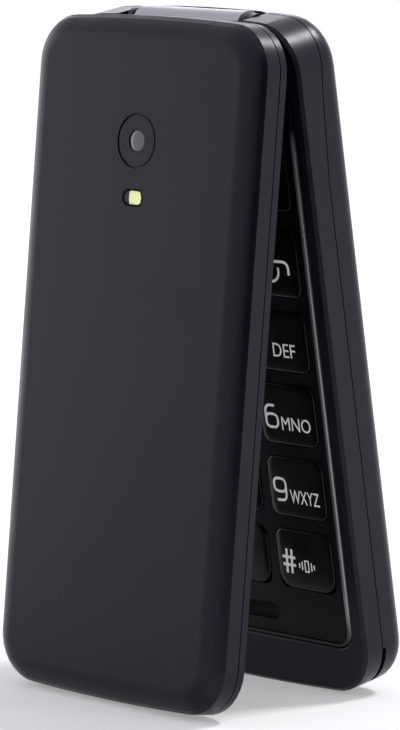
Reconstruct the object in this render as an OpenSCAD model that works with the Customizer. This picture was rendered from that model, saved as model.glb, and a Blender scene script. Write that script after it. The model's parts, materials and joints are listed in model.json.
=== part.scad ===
// Flip phone, standing half open like a tent on the free ends of its two halves.
// Millimetres, +Z up, X along the hinge. The lid stands on the -Y side and the
// base with the keypad on the +Y side. Both halves are drawn flat, with the
// hinge axis on the X axis, the keypad facing +Z and the free ends at -Y.

/* [Body] */
// Width of both halves
body_w = 52.4; // [48:0.1:58]
// Corner radius seen from the front
corner_r = 8; // [6:0.5:10]
// Radius of the slightly arched hinge ends
hinge_arch_r = 350; // [250:10:600]
// Radius of the almost straight free ends
free_arch_r = 450; // [300:10:1000]
// Hinge axis to the free end of the base
base_reach = 108.45; // [106:0.05:112]
// Hinge axis to the free end of the lid
lid_reach = 108.3; // [106:0.1:112]
// Thickness of the base
base_t = 9.6; // [9.4:0.1:11]
// Thickness of the lid
lid_t = 6.8; // [6.6:0.1:8]
// Gap between the halves when closed
closed_gap = 0.4; // [0.35:0.05:0.6]
// Chamfer around the inner edges of both halves
edge_c = 0.5; // [0.3:0.1:0.7]
// Radius of the back edge of the base
back_r = 3; // [2:0.25:3.5]
// Width of the rounded shoulder of the lid
shoulder_w = 4.1; // [3:0.1:5]
// Steepest slope of that shoulder, in degrees
shoulder_deg = 60; // [50:1:65]
// Draft of the lid's side walls
lid_draft = 0.2; // [0:0.05:0.5]

/* [Shells] */
// Wall of the outer shells
wall_t = 1.1; // [0.9:0.05:1.2]
// Parting groove between two shells
groove = 0.2; // [0.1:0.05:0.3]
// Depth of the front housing's side wall
front_side_t = 3.85; // [3.7:0.05:4]
// Depth of the lid bezel's side wall
bezel_side_t = 1.7; // [1.6:0.05:1.9]
// Clearance between pieces that are set into each other
fit_c = 0.1; // [0.05:0.05:0.15]

/* [Hinge] */
// Depth of the hinge axis below the keypad face
axis_depth = 4.2; // [4.1:0.05:4.4]
// Base shell past the axis
base_end = 2.4; // [2.2:0.05:2.5]
// Lid shell past the axis
lid_end = 1.15; // [1:0.05:1.3]
// Opening angle at which the phone stands
tent_angle = 15; // [13:0.5:20]
// Radius of the barrel in the middle
barrel_r = 2.8; // [2.6:0.05:2.9]
// Half length of the barrel
barrel_hw = 11.9; // [11:0.1:12.5]
// Radius of the lid's two hinge arms
arm_r = 2.4; // [2.2:0.05:2.6]
// Inner face of each hinge arm
arm_x = 13; // [12.8:0.1:14]
// Thickness of each hinge arm
arm_t = 1.1; // [1:0.05:1.3]
// Running gap beside and around the arms
arm_gap = 0.25; // [0.2:0.05:0.4]
// Rounding of the base's front edge at the hinge
hinge_round = 2; // [1:0.1:2.2]
// Drop of the parting line at the hinge end
part_drop = 2.15; // [1.8:0.05:2.3]
// Length over which the parting line drops
part_run = 24; // [18:1:40]
// Radius of the hinge shaft
shaft_r = 1.1; // [0.9:0.05:1.15]
// Radial running clearance of the shaft
shaft_c = 0.05; // [0.03:0.01:0.08]
// Radius of the friction sleeve
sleeve_r = 1.8; // [1.7:0.05:1.9]
// Length of the friction sleeve
sleeve_l = 9.5; // [7:0.5:10]

/* [Keypad] */
// Depth of the keypad panel below the rim
panel_drop = 0.35; // [0.3:0.05:0.4]
// Thickness of the keypad panel
panel_t = 1; // [0.9:0.05:1.1]
// Frame beside the keypad panel
panel_side = 2.8; // [2.6:0.1:3.2]
// Chamfer of the rim around the panel
rim_c = 0.3; // [0.1:0.05:0.3]
// Lower edge of the panel, from the free end
panel_low = 8; // [7:0.25:9]
// Upper edge of the panel, below the hinge axis
panel_high = 7.45; // [7.2:0.05:8]
// Side of the body to the outer keys
key_margin = 5.35; // [5:0.05:6]
// Space between two key columns
col_gap = 2.25; // [1.8:0.05:3]
// Space between two number rows
row_gap = 2.35; // [1.8:0.05:3]
// Middle of the lowest row, from the free end
row_low = 21.9; // [21.5:0.1:22.5]
// Middle of the highest number row, below the hinge axis
row_high = 49.8; // [49:0.1:51]
// Height of the call, clear and end keys
call_h = 10.8; // [10:0.1:11]
// Middle of that row, below the hinge axis
call_row = 36.95; // [36.5:0.05:37.5]
// Key height above the panel
key_proud = 0.25; // [0.15:0.05:0.3]
// Key travel
key_travel = 0.3; // [0.2:0.05:0.35]
// Gap around each key
key_gap = 0.15; // [0.1:0.05:0.2]
// Corner radius of the keys
key_r = 1.6; // [1:0.1:2]
// Lip that holds each key behind the panel
key_lip = 0.45; // [0.3:0.05:0.5]
// Middle of the navigation ring, below the hinge axis
nav_row = 19.15; // [19:0.05:19.5]
// Outer radius of the navigation ring
nav_r = 9.2; // [8.8:0.1:9.3]
// Radius of the middle key
ok_r = 4.5; // [4:0.1:5]

/* [Lid details] */
// Distance of the camera from the hinge axis
camera_y = 18.9; // [18:0.1:20]
// Radius of the camera window
camera_r = 4.3; // [4:0.1:4.6]
// Distance of the flash from the hinge axis
flash_y = 27.9; // [27:0.1:30]
// Width of the flash window
flash_w = 4.6; // [4:0.1:5]
// Height of the flash window
flash_h = 2.6; // [2.2:0.1:3]
// Side of the lid to the display window
window_side = 3.8; // [3.6:0.1:5]
// Free end of the lid to the display window
window_low = 11.3; // [11:0.1:13]
// Display window to the hinge axis
window_high = 24; // [23:0.5:26]
// Thickness of the display panel
lcd_t = 1.6; // [1.4:0.1:1.7]

/* [Battery] */
// Side of the body to the battery
battery_side = 7.2; // [6.4:0.1:9]
// Room between the battery and the hinge axis
battery_high = 33.95; // [33.8:0.05:38]
// Thickness of the battery
battery_t = 3.3; // [3:0.05:3.4]
// Lower end of the battery, from the free end of the base
battery_low = 20.5; // [20:0.5:21]

/* [Hidden] */

// Colours
shell_c = "#3a3942";
panel_c = "#1c1c20";
key_c = "#141416";
metal_c = "#9a9da3";
board_c = "#1f5a3a";
gold_c = "#b8862f";

// Smoothness of true round shapes
$fn = 48;
eps = 0.01;
big = 200;

// Sizes that follow the body
panel_hw = body_w / 2 - panel_side;
col_pitch = (body_w / 2 - key_margin + col_gap / 2) / 1.5;
key_w = col_pitch - col_gap;
row_pitch = (base_reach - row_low - row_high) / 3;
key_h = row_pitch - row_gap;
battery_w = body_w - 2 * battery_side;
battery_l = base_reach - battery_low - battery_high;

// Levels of both halves along Z when closed, with the hinge axis at zero
face_z = axis_depth;
back_z = face_z - base_t;
inner_z = face_z + closed_gap;
outer_z = inner_z + lid_t;

// The lid and the base lean so that both free ends touch the ground
lid_foot_z = inner_z + edge_c;
base_foot_z = face_z - edge_c;
lid_foot = norm([lid_reach, lid_foot_z]);
base_foot = norm([base_reach, base_foot_z]);
lid_foot_deg = atan(lid_foot_z / lid_reach);
spread_deg = tent_angle + lid_foot_deg - atan(base_foot_z / base_reach);
lean_deg = atan((lid_foot / base_foot - cos(spread_deg)) / sin(spread_deg));
lid_lean = lean_deg - lid_foot_deg;
base_lean = tent_angle - lid_lean;
axis_h = lid_foot * cos(lean_deg);

// Shoulder of the lid: an arc from the flat face down to a crisp crease
shoulder_r = shoulder_w / sin(shoulder_deg);
crease_z = outer_z - shoulder_r * (1 - cos(shoulder_deg));

// Furthest points in front of and behind the hinge axis, and their middle
front_y = (lid_reach - lid_draft - shoulder_w) * sin(lid_lean)
    + (outer_z - shoulder_r) * cos(lid_lean) + shoulder_r;
rear_y = (base_reach - back_r) * sin(base_lean)
    - (back_z + back_r) * cos(base_lean) + back_r;
axis_y = (front_y - rear_y) / 2;

// Splits between the shells
split_z = face_z - front_side_t;
cover_z = split_z - groove;
bezel_z = inner_z + bezel_side_t;
lid_split_z = bezel_z + groove;

// Inside of the base
cover_in_z = back_z + 1;
panel_top = face_z - panel_drop;
panel_bot = panel_top - panel_t;
ledge_t = 0.75;
ledge_w = 1.7;
key_top = panel_top + key_proud;
lip_t = 0.4;
lip_top = panel_bot - 0.2;
lip_bot = lip_top - lip_t;
keymat_t = 0.45;
keymat_top = lip_bot - key_travel - 0.05;
keymat_bot = keymat_top - keymat_t;
nub_h = 0.15;
dome_h = 0.2;
dome_t = 0.12;
dome_top = keymat_bot - nub_h - 0.05;
board_t = 0.85;
board_top = dome_top - dome_h - dome_t - 0.05;
board_bot = board_top - board_t;
inner_hw = body_w / 2 - wall_t - 0.2;
bay_t = 0.55;
bay_top = board_bot - 0.1;
battery_top = bay_top - bay_t - fit_c;
seat_c = 0.15;
rear_bot = cover_in_z + seat_c;

// Length and middle of the keypad panel
panel_l = base_reach - panel_low - panel_high;
panel_y = -panel_high - panel_l / 2;

// Hinge block of the front housing
block_l = 6.4;
block_z = -barrel_r - 0.2;
slot_in = barrel_hw;
slot_out = arm_x + arm_t + arm_gap;
slot_y = -arm_r - arm_gap - 0.1;
pin_end = arm_x + arm_t + 4;
bush_in = slot_in - 1.5;
flex_x = -arm_x - arm_t / 2;

// Headphone jack and side keys on the left
jack_r = 1.75;
jack_l = 14;
jack_y = -24;
jack_hw = 3;
jack_ht = 2.15;
jack_z = board_top - 0.15 - jack_ht;
jack_x = -inner_hw + 0.15;
tongue = 3.6;
can_x = body_w / 2 - 4.2;
speaker_x = body_w / 2 - 11.2;
speaker_y = -25.5;
usb_w = 7.5;
usb_h = 2.5;
usb_l = 5.4;
usb_s = 0.3;
usb_z = split_z + 0.15;
rocker_y = -44;
rocker_l = 16;
rocker_w = 1.2;
rocker_z = (split_z + panel_bot - ledge_t) / 2;
rocker_proud = 0.55;
flange_x = -inner_hw + 0.35;
pivot_x = flange_x + 0.25;
switch_x = -inner_hw + 1.75;
push_y = 6;

// Closing sensor and its magnet
sensor_x = body_w / 2 - 6.7;
magnet_x = body_w / 2 - 11.2;

// Screws
boss_x = body_w / 2 - 3.25;
boss_r = 1.45;
screw_r = 0.55;
hole_r = 0.65;
head_r = 1.2;
base_screw_y = [11.95 - base_reach, -0.558 * base_reach, -12.5];
end_screw_x = body_w / 2 - 6;
lid_screw_x = body_w / 2 - 3.6;
end_screw_y = 5.1 - lid_reach;
lid_screw_pos = [[end_screw_x, end_screw_y], [-end_screw_x, end_screw_y],
    [lid_screw_x, -14], [-lid_screw_x, -14]];

// Display
window_t = 0.7;
window_hw = body_w / 2 - window_side;
window_y0 = window_low - lid_reach;
window_y1 = -window_high;
lcd_w = 2 * window_hw + 0.2;
lcd_y0 = window_y0 + 8;
lcd_y1 = window_y1 - 3;
lcd_l = lcd_y1 - lcd_y0;
earpiece_y = 6.8 - lid_reach;
frame_t = 0.3;
lid_board_t = 0.6;
lcd_z = bezel_z + 0.05;
frame_z = lcd_z + lcd_t + 0.05;
lid_board_z = frame_z + frame_t + 0.1;
cover_ceiling = outer_z - 1.2;
chip_t = 1.3;
notch_x = body_w / 2 - 5.7;
notch_s = 7.5;
notch_h = 0.7;
notch_t = 0.8;
slot_pill_w = 14;
slot_pill_h = 2.8;
slot_pill_s = 12.2;

// ---------------------------------------------------------------- placing

// Places a piece of the base that is drawn flat
module in_base() translate([0, axis_y, axis_h]) rotate([90 + base_lean, 0, 0]) children();

// Places a piece of the lid that is drawn flat
module in_lid() translate([0, axis_y, axis_h]) rotate([90 - lid_lean, 0, 0]) children();

// A distance from the free end of the base as a flat Y
function from_end(s) = s - base_reach;

// ---------------------------------------------------------------- helpers

function arc(cx, cy, r, a0, n = 8) =
    [for (i = [0:n]) [cx + r * cos(a0 + 90 * i / n), cy + r * sin(a0 + 90 * i / n)]];

// Points along an arched end, from one corner to the other
function arch(half, y, r, dir, n = 6) =
    [for (i = [1:n - 1]) let (x = dir * half * (1 - 2 * i / n)) [x, y - dir * x * x / (2 * r)]];

// Outline of a half: reach towards -Y, end towards +Y, moved inwards by inset
function outline(reach, end, inset) =
    let (
        r = corner_r - inset,
        cx = body_w / 2 - corner_r,
        top = end - cx * cx / (2 * hinge_arch_r) - corner_r,
        low = -reach + cx * cx / (2 * free_arch_r) + corner_r
    )
    concat(
        arc(cx, top, r, 0),
        arch(cx, end - inset, hinge_arch_r, 1),
        arc(-cx, top, r, 90),
        arc(-cx, low, r, 180),
        arch(cx, -reach + inset, free_arch_r, -1),
        arc(cx, low, r, 270)
    );

// Hull through outlines at several heights, each given as [inset, z]
module envelope(reach, end, levels, extra = 0) {
    top = levels[len(levels) - 1][1];
    hull() for (l = levels)
        translate([0, 0, l[1] == top ? l[1] - eps : l[1]])
            linear_extrude(eps) polygon(outline(reach, end, l[0] + extra));
}

base_levels = concat(
    [for (t = [90:-15:0]) [back_r * (1 - cos(t)), back_z + back_r * (1 - sin(t))]],
    [[0, face_z - edge_c], [edge_c, face_z]]
);
lid_levels = concat(
    [[edge_c, inner_z], [0, inner_z + edge_c]],
    [for (k = [5:-1:0]) let (t = shoulder_deg * k / 5)
        [lid_draft + shoulder_w - shoulder_r * sin(t), outer_z - shoulder_r * (1 - cos(t))]]
);

cover_in_r = back_r - 0.4;
cover_levels = concat(
    [for (t = [90:-15:0]) [wall_t + cover_in_r * (1 - cos(t)), cover_in_z + cover_in_r * (1 - sin(t))]],
    [[wall_t, face_z]]
);

module base_shape() difference() {
    envelope(base_reach, base_end, base_levels);
    // rounded front edge at the hinge, which the lid swings around
    difference() {
        span([-big, base_end - hinge_round, face_z - hinge_round], [big, big, big]);
        translate([0, base_end - hinge_round, face_z - hinge_round]) bar(-big, big, hinge_round);
    }
}
module lid_shape() envelope(lid_reach, lid_end, lid_levels);

// Straight block with the outline of a half
module base_block(inset, z0, z1)
    translate([0, 0, z0]) linear_extrude(z1 - z0) polygon(outline(base_reach, base_end, inset));
module lid_block(inset, z0, z1)
    translate([0, 0, z0]) linear_extrude(z1 - z0) polygon(outline(lid_reach, lid_end, inset));

// Box between two corners
module span(a, b) translate(a) cube(b - a);

// Upright round pin between two heights
module post(x, y, r, z0, z1) translate([x, y, z0]) cylinder(h = z1 - z0, r = r);

// Round bar along X
module bar(x0, x1, r) translate([x0, 0, 0]) rotate([0, 90, 0]) cylinder(h = x1 - x0, r = r);

// Rectangle with round corners, centred
module round_rect(w, h, r) {
    square([w - 2 * r, h], center = true);
    square([w, h - 2 * r], center = true);
    for (x = [-1, 1], y = [-1, 1])
        translate([x * (w / 2 - r), y * (h / 2 - r)]) circle(r);
}

// Everything in front of the parting line, which drops towards the hinge, with
// the deeper block of the barrel and the tongue of the headphone jack
module front_zone(gap = 0) {
    rotate([90, 0, 90]) translate([0, -gap, -big]) linear_extrude(2 * big) polygon([
        [-big, split_z], [-part_run, split_z], [-part_run * 0.4, split_z - part_drop * 0.4],
        [base_end, split_z - part_drop], [big, split_z - part_drop], [big, big], [-big, big]
    ]);
    span([-slot_out, -block_l - gap, block_z - gap], [slot_out, big, big]);
    span([-big, jack_y - tongue - gap, jack_z - jack_ht - 0.6 - gap],
        [-inner_hw, jack_y + tongue + gap, big]);
}

// Slots for the two hinge arms of the lid
module arm_slots()
    for (s = [-1, 1])
        span([s > 0 ? slot_in : -slot_out, slot_y, -big], [s > 0 ? slot_out : -slot_in, big, big]);

// ---------------------------------------------------------------- base shells

module front_housing() in_base() color(shell_c) difference() {
    union() {
        difference() {
            intersection() {
                base_shape();
                front_zone();
            }
            // inside, up to the ledge of the keypad panel
            intersection() {
                base_block(wall_t + 0.2, back_z, panel_bot - ledge_t);
                span([-big, -big, -big], [big, -block_l, big]);
            }
            // seat and opening of the keypad panel
            panel_plate(fit_c, panel_bot - 0.03, face_z + 1);
            hull() {
                panel_plate(fit_c, face_z - rim_c, face_z);
                panel_plate(fit_c + rim_c + eps, face_z, face_z + eps);
            }
            translate([0, panel_y, panel_bot - 2])
                linear_extrude(3) round_rect(2 * (panel_hw - ledge_w), panel_l - 2 * ledge_w, 2);
            // the shell is cut back around the round barrel
            span([-slot_in, -2, -big], [slot_in, big, big]);
        }
        // barrel between the arms
        difference() {
            bar(-slot_in, slot_in, barrel_r);
            span([-big, -big, -big], [big, -2.2, big]);
        }
        // screw bosses
        for (s = [-1, 1], y = base_screw_y)
            post(s * boss_x, y, boss_r, board_top + 0.1, panel_bot - ledge_t + 0.2);
    }
    arm_slots();
    // bores of the friction sleeve, the flex coil and the two pins
    bar(slot_in - sleeve_l, slot_in + eps, sleeve_r + fit_c);
    bar(-slot_in - eps, -2, sleeve_r + fit_c);
    for (s = [0, 1]) mirror([s, 0, 0]) bar(slot_out - eps, pin_end + 0.3, shaft_r + shaft_c);
    // channel for the flex cable from the coil to the board
    span([-8.4, -block_l - 1, -1.75], [-3.6, 0, -1.15]);
    // jack, USB port and volume key openings
    translate([-big / 2, jack_y, jack_z]) rotate([0, 90, 0]) cylinder(h = big / 2, r = jack_r);
    usb_body(fit_c, 1.5);
    span([-big, rocker_y - rocker_l / 2 - key_gap, rocker_z - rocker_w / 2 - key_gap],
        [-inner_hw + 1, rocker_y + rocker_l / 2 + key_gap, rocker_z + rocker_w / 2 + key_gap]);
    // screw holes
    for (s = [-1, 1], y = base_screw_y)
        post(s * boss_x, y, hole_r, board_top, panel_bot + 0.1);
}

// Solid with the outline of the keypad panel
module panel_plate(grow, z0, z1)
    translate([0, panel_y, z0]) linear_extrude(z1 - z0)
        round_rect(2 * (panel_hw + grow), panel_l + 2 * grow, 3.5);

module keypad_panel() in_base() color(panel_c) difference() {
    panel_plate(0, panel_bot, panel_top);
    key_field(key_gap, panel_bot - 1, panel_top + 1);
    // shallow recess with the microphone hole
    translate([0, from_end(slot_pill_s), panel_top - 0.4])
        linear_extrude(1) round_rect(slot_pill_w, slot_pill_h, slot_pill_h / 2 - eps);
    post(0, from_end(slot_pill_s), 0.5, 0, face_z);
}

module rear_housing() in_base() color(panel_c) difference() {
    intersection() {
        translate([0, 0, seat_c]) envelope(base_reach, base_end, cover_levels, 2 * seat_c);
        span([-big, -big, -big], [big, -block_l - 0.2, bay_top]);
    }
    // battery bay
    translate([0, from_end(battery_low) + battery_l / 2, rear_bot - 1])
        linear_extrude(bay_top - bay_t - rear_bot + 1)
            round_rect(battery_w + 2 * fit_c, battery_l + 2 * fit_c, 1.5);
    // pockets for the loudspeaker, motor, socket, screening can, jack and antenna
    loudspeaker_body(0.15, back_z);
    motor_body(0.15);
    sim_body(0.15, back_z);
    can_body(0.15);
    jack_body(0.15);
    span([-big, jack_y - tongue - 0.2, jack_z - jack_ht - 0.8],
        [-inner_hw + 0.1, jack_y + tongue + 0.2, big]);
    antenna_body(0.1);
    span([-9, -block_l - 4, -1.9], [-3, 0, big]);
    // screw holes with counterbores
    for (s = [-1, 1], y = base_screw_y) {
        post(s * boss_x, y, hole_r, back_z, face_z);
        post(s * boss_x, y, head_r + 0.15, back_z, -1.6);
    }
}

module battery_cover() in_base() color(shell_c) difference() {
    base_shape();
    // parting line, with room for the hinge block and the jack tongue
    front_zone(groove);
    // inside
    difference() {
        envelope(base_reach, base_end, cover_levels);
        span([-big, -block_l - groove, -big], [big, big, big]);
    }
    jack_body(0.2);
    arm_slots();
    // loudspeaker slots
    for (i = [-2:2])
        translate([speaker_x + i * 2, speaker_y, back_z - 1]) linear_extrude(3) round_rect(0.9, 7, 0.44);
    // notch for a finger nail at the lower right corner
    difference() {
        span([notch_x, -big, cover_z - notch_h], [big, from_end(notch_s), face_z]);
        base_block(notch_t, back_z, face_z);
    }
}

// ---------------------------------------------------------------- base insides

module battery() in_base() color("#2b2f3a")
    translate([0, from_end(battery_low) + battery_l / 2, battery_top - battery_t])
        linear_extrude(battery_t) round_rect(battery_w, battery_l, 1.4);

module main_board() in_base() color(board_c) difference() {
    union() {
        intersection() {
            base_block(wall_t + 0.7, board_bot, board_top);
            span([-big, -big, -big], [big, -block_l - 0.3, big]);
        }
        // switches behind the volume key and the closing sensor
        for (s = [-1, 1])
            span([switch_x, rocker_y + s * push_y - 1.7, board_top - eps],
                [switch_x + 1.45, rocker_y + s * push_y + 1.7, board_top + 0.9]);
        span([sensor_x - 1, from_end(9), board_top - eps], [sensor_x + 1, from_end(11), board_top + 0.8]);
    }
    for (s = [-1, 1], y = base_screw_y) post(s * boss_x, y, boss_r + 0.15, board_bot - 1, board_top + 1);
    jack_body(0.15);
    usb_body(fit_c, 1);
    // room for the rocking volume key
    span([-big, rocker_y - rocker_l / 2 - 0.5, board_bot - 1],
        [pivot_x + 0.3, rocker_y + rocker_l / 2 + 0.5, board_top + 0.05]);
}

module dome_sheet() in_base() color("#c9ccd2") {
    sheet_w = 2 * (col_pitch + key_w / 2) - 1;
    translate([-sheet_w / 2, from_end(row_low - 5.4), board_top + 0.05])
        cube([sheet_w, base_reach - nav_row + 9 - row_low + 5.4, dome_t]);
    for (p = key_centres)
        post(p[0], p[1], 2, board_top + 0.05 + dome_t - eps, board_top + 0.05 + dome_t + dome_h);
}

module keymat() in_base() color("#55565c") {
    mat_w = 2 * (col_pitch + key_w / 2) + 0.6;
    translate([-mat_w / 2, from_end(row_low - 6.1), keymat_bot])
        cube([mat_w, base_reach - nav_row + 10 - row_low + 6.1, keymat_t]);
    for (p = key_centres) post(p[0], p[1], 0.8, keymat_bot - nub_h, keymat_bot + eps);
}

module can_body(grow)
    span([-can_x - grow, -19 - grow, board_bot - 1.6 - grow], [8 + grow, -10.4 + grow, board_bot - 0.02]);

module shield_can() in_base() color(metal_c) difference() {
    can_body(0);
    span([-can_x + 0.2, -18.8, board_bot - 1.4], [7.8, -10.6, board_bot + 1]);
}

module microphone() in_base() color(gold_c)
    span([-2, from_end(slot_pill_s) - 1.5, board_top + 0.02],
        [2, from_end(slot_pill_s) + 1.5, board_top + 1.1]);

module loudspeaker_body(grow, floor_z)
    span([speaker_x - 6.5 - grow, speaker_y - 5.5 - grow, floor_z],
        [speaker_x + 6.5 + grow, speaker_y + 5.5 + grow, board_bot - 0.35 + grow]);

module loudspeaker() in_base() color("#26262a") difference() {
    loudspeaker_body(0, cover_in_z + 0.25);
    translate([speaker_x, speaker_y, cover_in_z]) linear_extrude(0.8) round_rect(11, 8.6, 3);
}

module motor_body(grow) {
    post(speaker_x, -13, 4 + grow, board_bot - 2.7 - grow, board_bot - 0.02);
    span([speaker_x - 4.7 - grow, -14 - grow, board_bot - 0.6 - grow],
        [speaker_x - 3 + grow, -12 + grow, board_bot - 0.02]);
}

module vibration_motor() in_base() color(metal_c) motor_body(0);

module usb_body(grow, out = 0)
    span([-usb_w / 2 - grow, from_end(usb_s - out) - grow, usb_z - grow],
        [usb_w / 2 + grow, from_end(usb_s) + usb_l + grow, usb_z + usb_h + grow]);

module usb_connector() in_base() color(metal_c) difference() {
    usb_body(0);
    span([-usb_w / 2 + 0.3, from_end(0), usb_z + 0.3],
        [usb_w / 2 - 0.3, from_end(usb_s) + usb_l - 0.5, usb_z + usb_h - 0.3]);
}

module jack_body(grow)
    span([jack_x - grow, jack_y - jack_hw - grow, jack_z - jack_ht - grow],
        [jack_x + jack_l + grow, jack_y + jack_hw + grow, jack_z + jack_ht + grow]);

module headphone_jack() in_base() color("#303034") difference() {
    jack_body(0);
    translate([jack_x - 1, jack_y, jack_z]) rotate([0, 90, 0]) cylinder(h = jack_l, r = jack_r);
}

module sim_body(grow, floor_z)
    span([-8 - grow, -33 - grow, floor_z], [6.5 + grow, -20.5 + grow, board_bot - 0.02]);

module sim_socket() in_base() color(metal_c) difference() {
    sim_body(0, board_bot - 1.3);
    span([-7, -34, board_bot - 1.05], [5.5, -21, board_bot - 0.3]);
}

module antenna_body(grow)
    span([-body_w / 2 + 6.2 - grow, from_end(2.8) - grow, rear_bot + 0.7 - grow],
        [body_w / 2 - 6.2 + grow, from_end(13) + grow, board_bot - 0.4 + grow]);

module antenna() in_base() color(gold_c) antenna_body(0);

module volume_rocker() in_base() color(key_c) {
    span([-body_w / 2 - rocker_proud, rocker_y - rocker_l / 2, rocker_z - rocker_w / 2],
        [flange_x + eps, rocker_y + rocker_l / 2, rocker_z + rocker_w / 2]);
    span([flange_x, rocker_y - rocker_l / 2 - 0.6, board_top + 0.1],
        [flange_x + 0.5, rocker_y + rocker_l / 2 + 0.6, panel_bot - ledge_t - 0.05]);
    // round fulcrum that the key rocks on
    post(pivot_x, rocker_y, 0.45, board_top + 0.1, panel_bot - ledge_t - 0.05);
    for (s = [-1, 1])
        span([flange_x + 0.5 - eps, rocker_y + s * push_y - 1.2, board_top + 0.15],
            [switch_x - 0.3, rocker_y + s * push_y + 1.2, board_top + 0.85]);
}

module base_screws() in_base() color(metal_c)
    for (s = [-1, 1], y = base_screw_y) {
        post(s * boss_x, y, screw_r, -1.7, panel_bot - 0.4);
        post(s * boss_x, y, head_r, -2.4, -1.65);
    }

// ---------------------------------------------------------------- keys

function digit_pos(col, row) = [(col - 1) * col_pitch, from_end(row_low + row * row_pitch)];
nav_pos = [0, -nav_row];
soft_h = 18.2;
soft_x0 = 10.9;
soft_x1 = col_pitch + key_w / 2;
soft_x = (soft_x0 + soft_x1) / 2 + 0.425;
key_centres = concat(
    [for (c = [0:2], r = [0:3]) digit_pos(c, r)],
    [for (c = [0:2]) [(c - 1) * col_pitch, -call_row]],
    [for (a = [0:90:270]) nav_pos + 7 * [cos(a), sin(a)]],
    [nav_pos, nav_pos + [soft_x, 0], nav_pos - [soft_x, 0]]
);

// Solid of a key outline, with its lip behind the panel
module key_solid() {
    translate([0, 0, lip_bot + lip_t - eps]) linear_extrude(key_top - lip_bot - lip_t + eps) children(0);
    translate([0, 0, lip_bot]) linear_extrude(lip_t) children(1);
}

module flat_key(pos, w, h) in_base() color(key_c) translate(pos) key_solid() {
    round_rect(w, h, key_r);
    round_rect(w + 2 * key_lip, h + 2 * key_lip, key_r);
}

module soft_shape(grow) difference() {
    translate([(soft_x0 + soft_x1) / 2, 0])
        round_rect(soft_x1 - soft_x0 + 2 * grow, soft_h + 2 * grow, key_r);
    circle(nav_r + 1.5 - grow);
}

module soft_key(side) in_base() color(key_c) translate(nav_pos) mirror([side < 0 ? 1 : 0, 0, 0]) key_solid() {
    soft_shape(0);
    soft_shape(key_lip);
}

module nav_shape(angle, r_in, r_out, cut) rotate(angle) difference() {
    intersection() {
        circle(r_out);
        polygon([[cut * 1.415, 0], [20, 20 - cut * 1.415], [20, -20 + cut * 1.415]]);
    }
    circle(r_in);
}

module nav_key(angle) in_base() color(key_c) translate(nav_pos) key_solid() {
    nav_shape(angle, ok_r + key_gap, nav_r, key_gap);
    nav_shape(angle, ok_r + key_gap, nav_r + key_lip, key_gap);
}

// All key openings of the panel
module key_field(grow, z0, z1) translate([0, 0, z0]) linear_extrude(z1 - z0) {
    for (c = [0:2]) {
        for (r = [0:3])
            translate(digit_pos(c, r)) round_rect(key_w + 2 * grow, key_h + 2 * grow, key_r + grow);
        translate([(c - 1) * col_pitch, -call_row])
            round_rect(key_w + 2 * grow, call_h + 2 * grow, key_r + grow);
    }
    translate(nav_pos) {
        circle(nav_r + grow);
        for (s = [0, 1]) mirror([s, 0]) soft_shape(grow);
    }
}

module key_star() flat_key(digit_pos(0, 0), key_w, key_h);
module key_0() flat_key(digit_pos(1, 0), key_w, key_h);
module key_hash() flat_key(digit_pos(2, 0), key_w, key_h);
module key_7() flat_key(digit_pos(0, 1), key_w, key_h);
module key_8() flat_key(digit_pos(1, 1), key_w, key_h);
module key_9() flat_key(digit_pos(2, 1), key_w, key_h);
module key_4() flat_key(digit_pos(0, 2), key_w, key_h);
module key_5() flat_key(digit_pos(1, 2), key_w, key_h);
module key_6() flat_key(digit_pos(2, 2), key_w, key_h);
module key_1() flat_key(digit_pos(0, 3), key_w, key_h);
module key_2() flat_key(digit_pos(1, 3), key_w, key_h);
module key_3() flat_key(digit_pos(2, 3), key_w, key_h);
module key_call() flat_key([-col_pitch, -call_row], key_w, call_h);
module key_clear() flat_key([0, -call_row], key_w, call_h);
module key_end() flat_key([col_pitch, -call_row], key_w, call_h);
module soft_left() soft_key(-1);
module soft_right() soft_key(1);
module nav_right() nav_key(0);
module nav_up() nav_key(90);
module nav_left() nav_key(180);
module nav_down() nav_key(270);
module nav_ok() in_base() color(key_c) translate(nav_pos) key_solid() {
    circle(ok_r);
    circle(ok_r);
}

// ---------------------------------------------------------------- hinge

module hinge_sleeve() in_base() color(metal_c) difference() {
    bar(slot_in - sleeve_l + 0.2, slot_in - 0.1, sleeve_r);
    bar(slot_in - sleeve_l + 1, slot_in, shaft_r + shaft_c);
}

module hinge_shaft() in_lid() color(metal_c) bar(slot_in - sleeve_l + 1.2, pin_end, shaft_r);

module hinge_bush() in_lid() color(metal_c) difference() {
    bar(-pin_end, -bush_in, shaft_r);
    bar(-pin_end - 1, 0, shaft_r - 0.4);
    span([flex_x - 0.25, -shaft_r - 0.1, 0], [flex_x + 0.25, shaft_r + 0.1, big]);
}

module flex_base() in_base() color(gold_c) {
    difference() {
        bar(-8, -4, 1.7);
        bar(-9, -3, 1.4);
        span([-9, -3, -0.4], [-3, 0, 0.4]);
    }
    span([-8, -block_l - 2.5, -1.68], [-4, -0.2, -1.42]);
    span([-8, -block_l - 3.2, -1.68], [-4, -block_l - 2.3, board_bot - 0.05]);
}

module flex_lid() in_lid() color(gold_c) {
    flex_z = lid_board_z - 0.27;
    bar(-pin_end + 0.5, -8.4, 0.4);
    span([flex_x - 0.15, -1, 0], [flex_x + 0.15, -0.2, inner_z]);
    span([flex_x - 0.15, -1, inner_z - eps], [flex_x + 0.15, -0.55, flex_z + 0.25]);
    span([flex_x - 1.5, -7.5, flex_z], [flex_x + 1.5, -0.5, flex_z + 0.25]);
}

// ---------------------------------------------------------------- lid

module lid_end_chamfer() translate([0, lid_end, inner_z]) rotate([45, 0, 0])
    cube([big, 1, 1], center = true);

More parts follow.
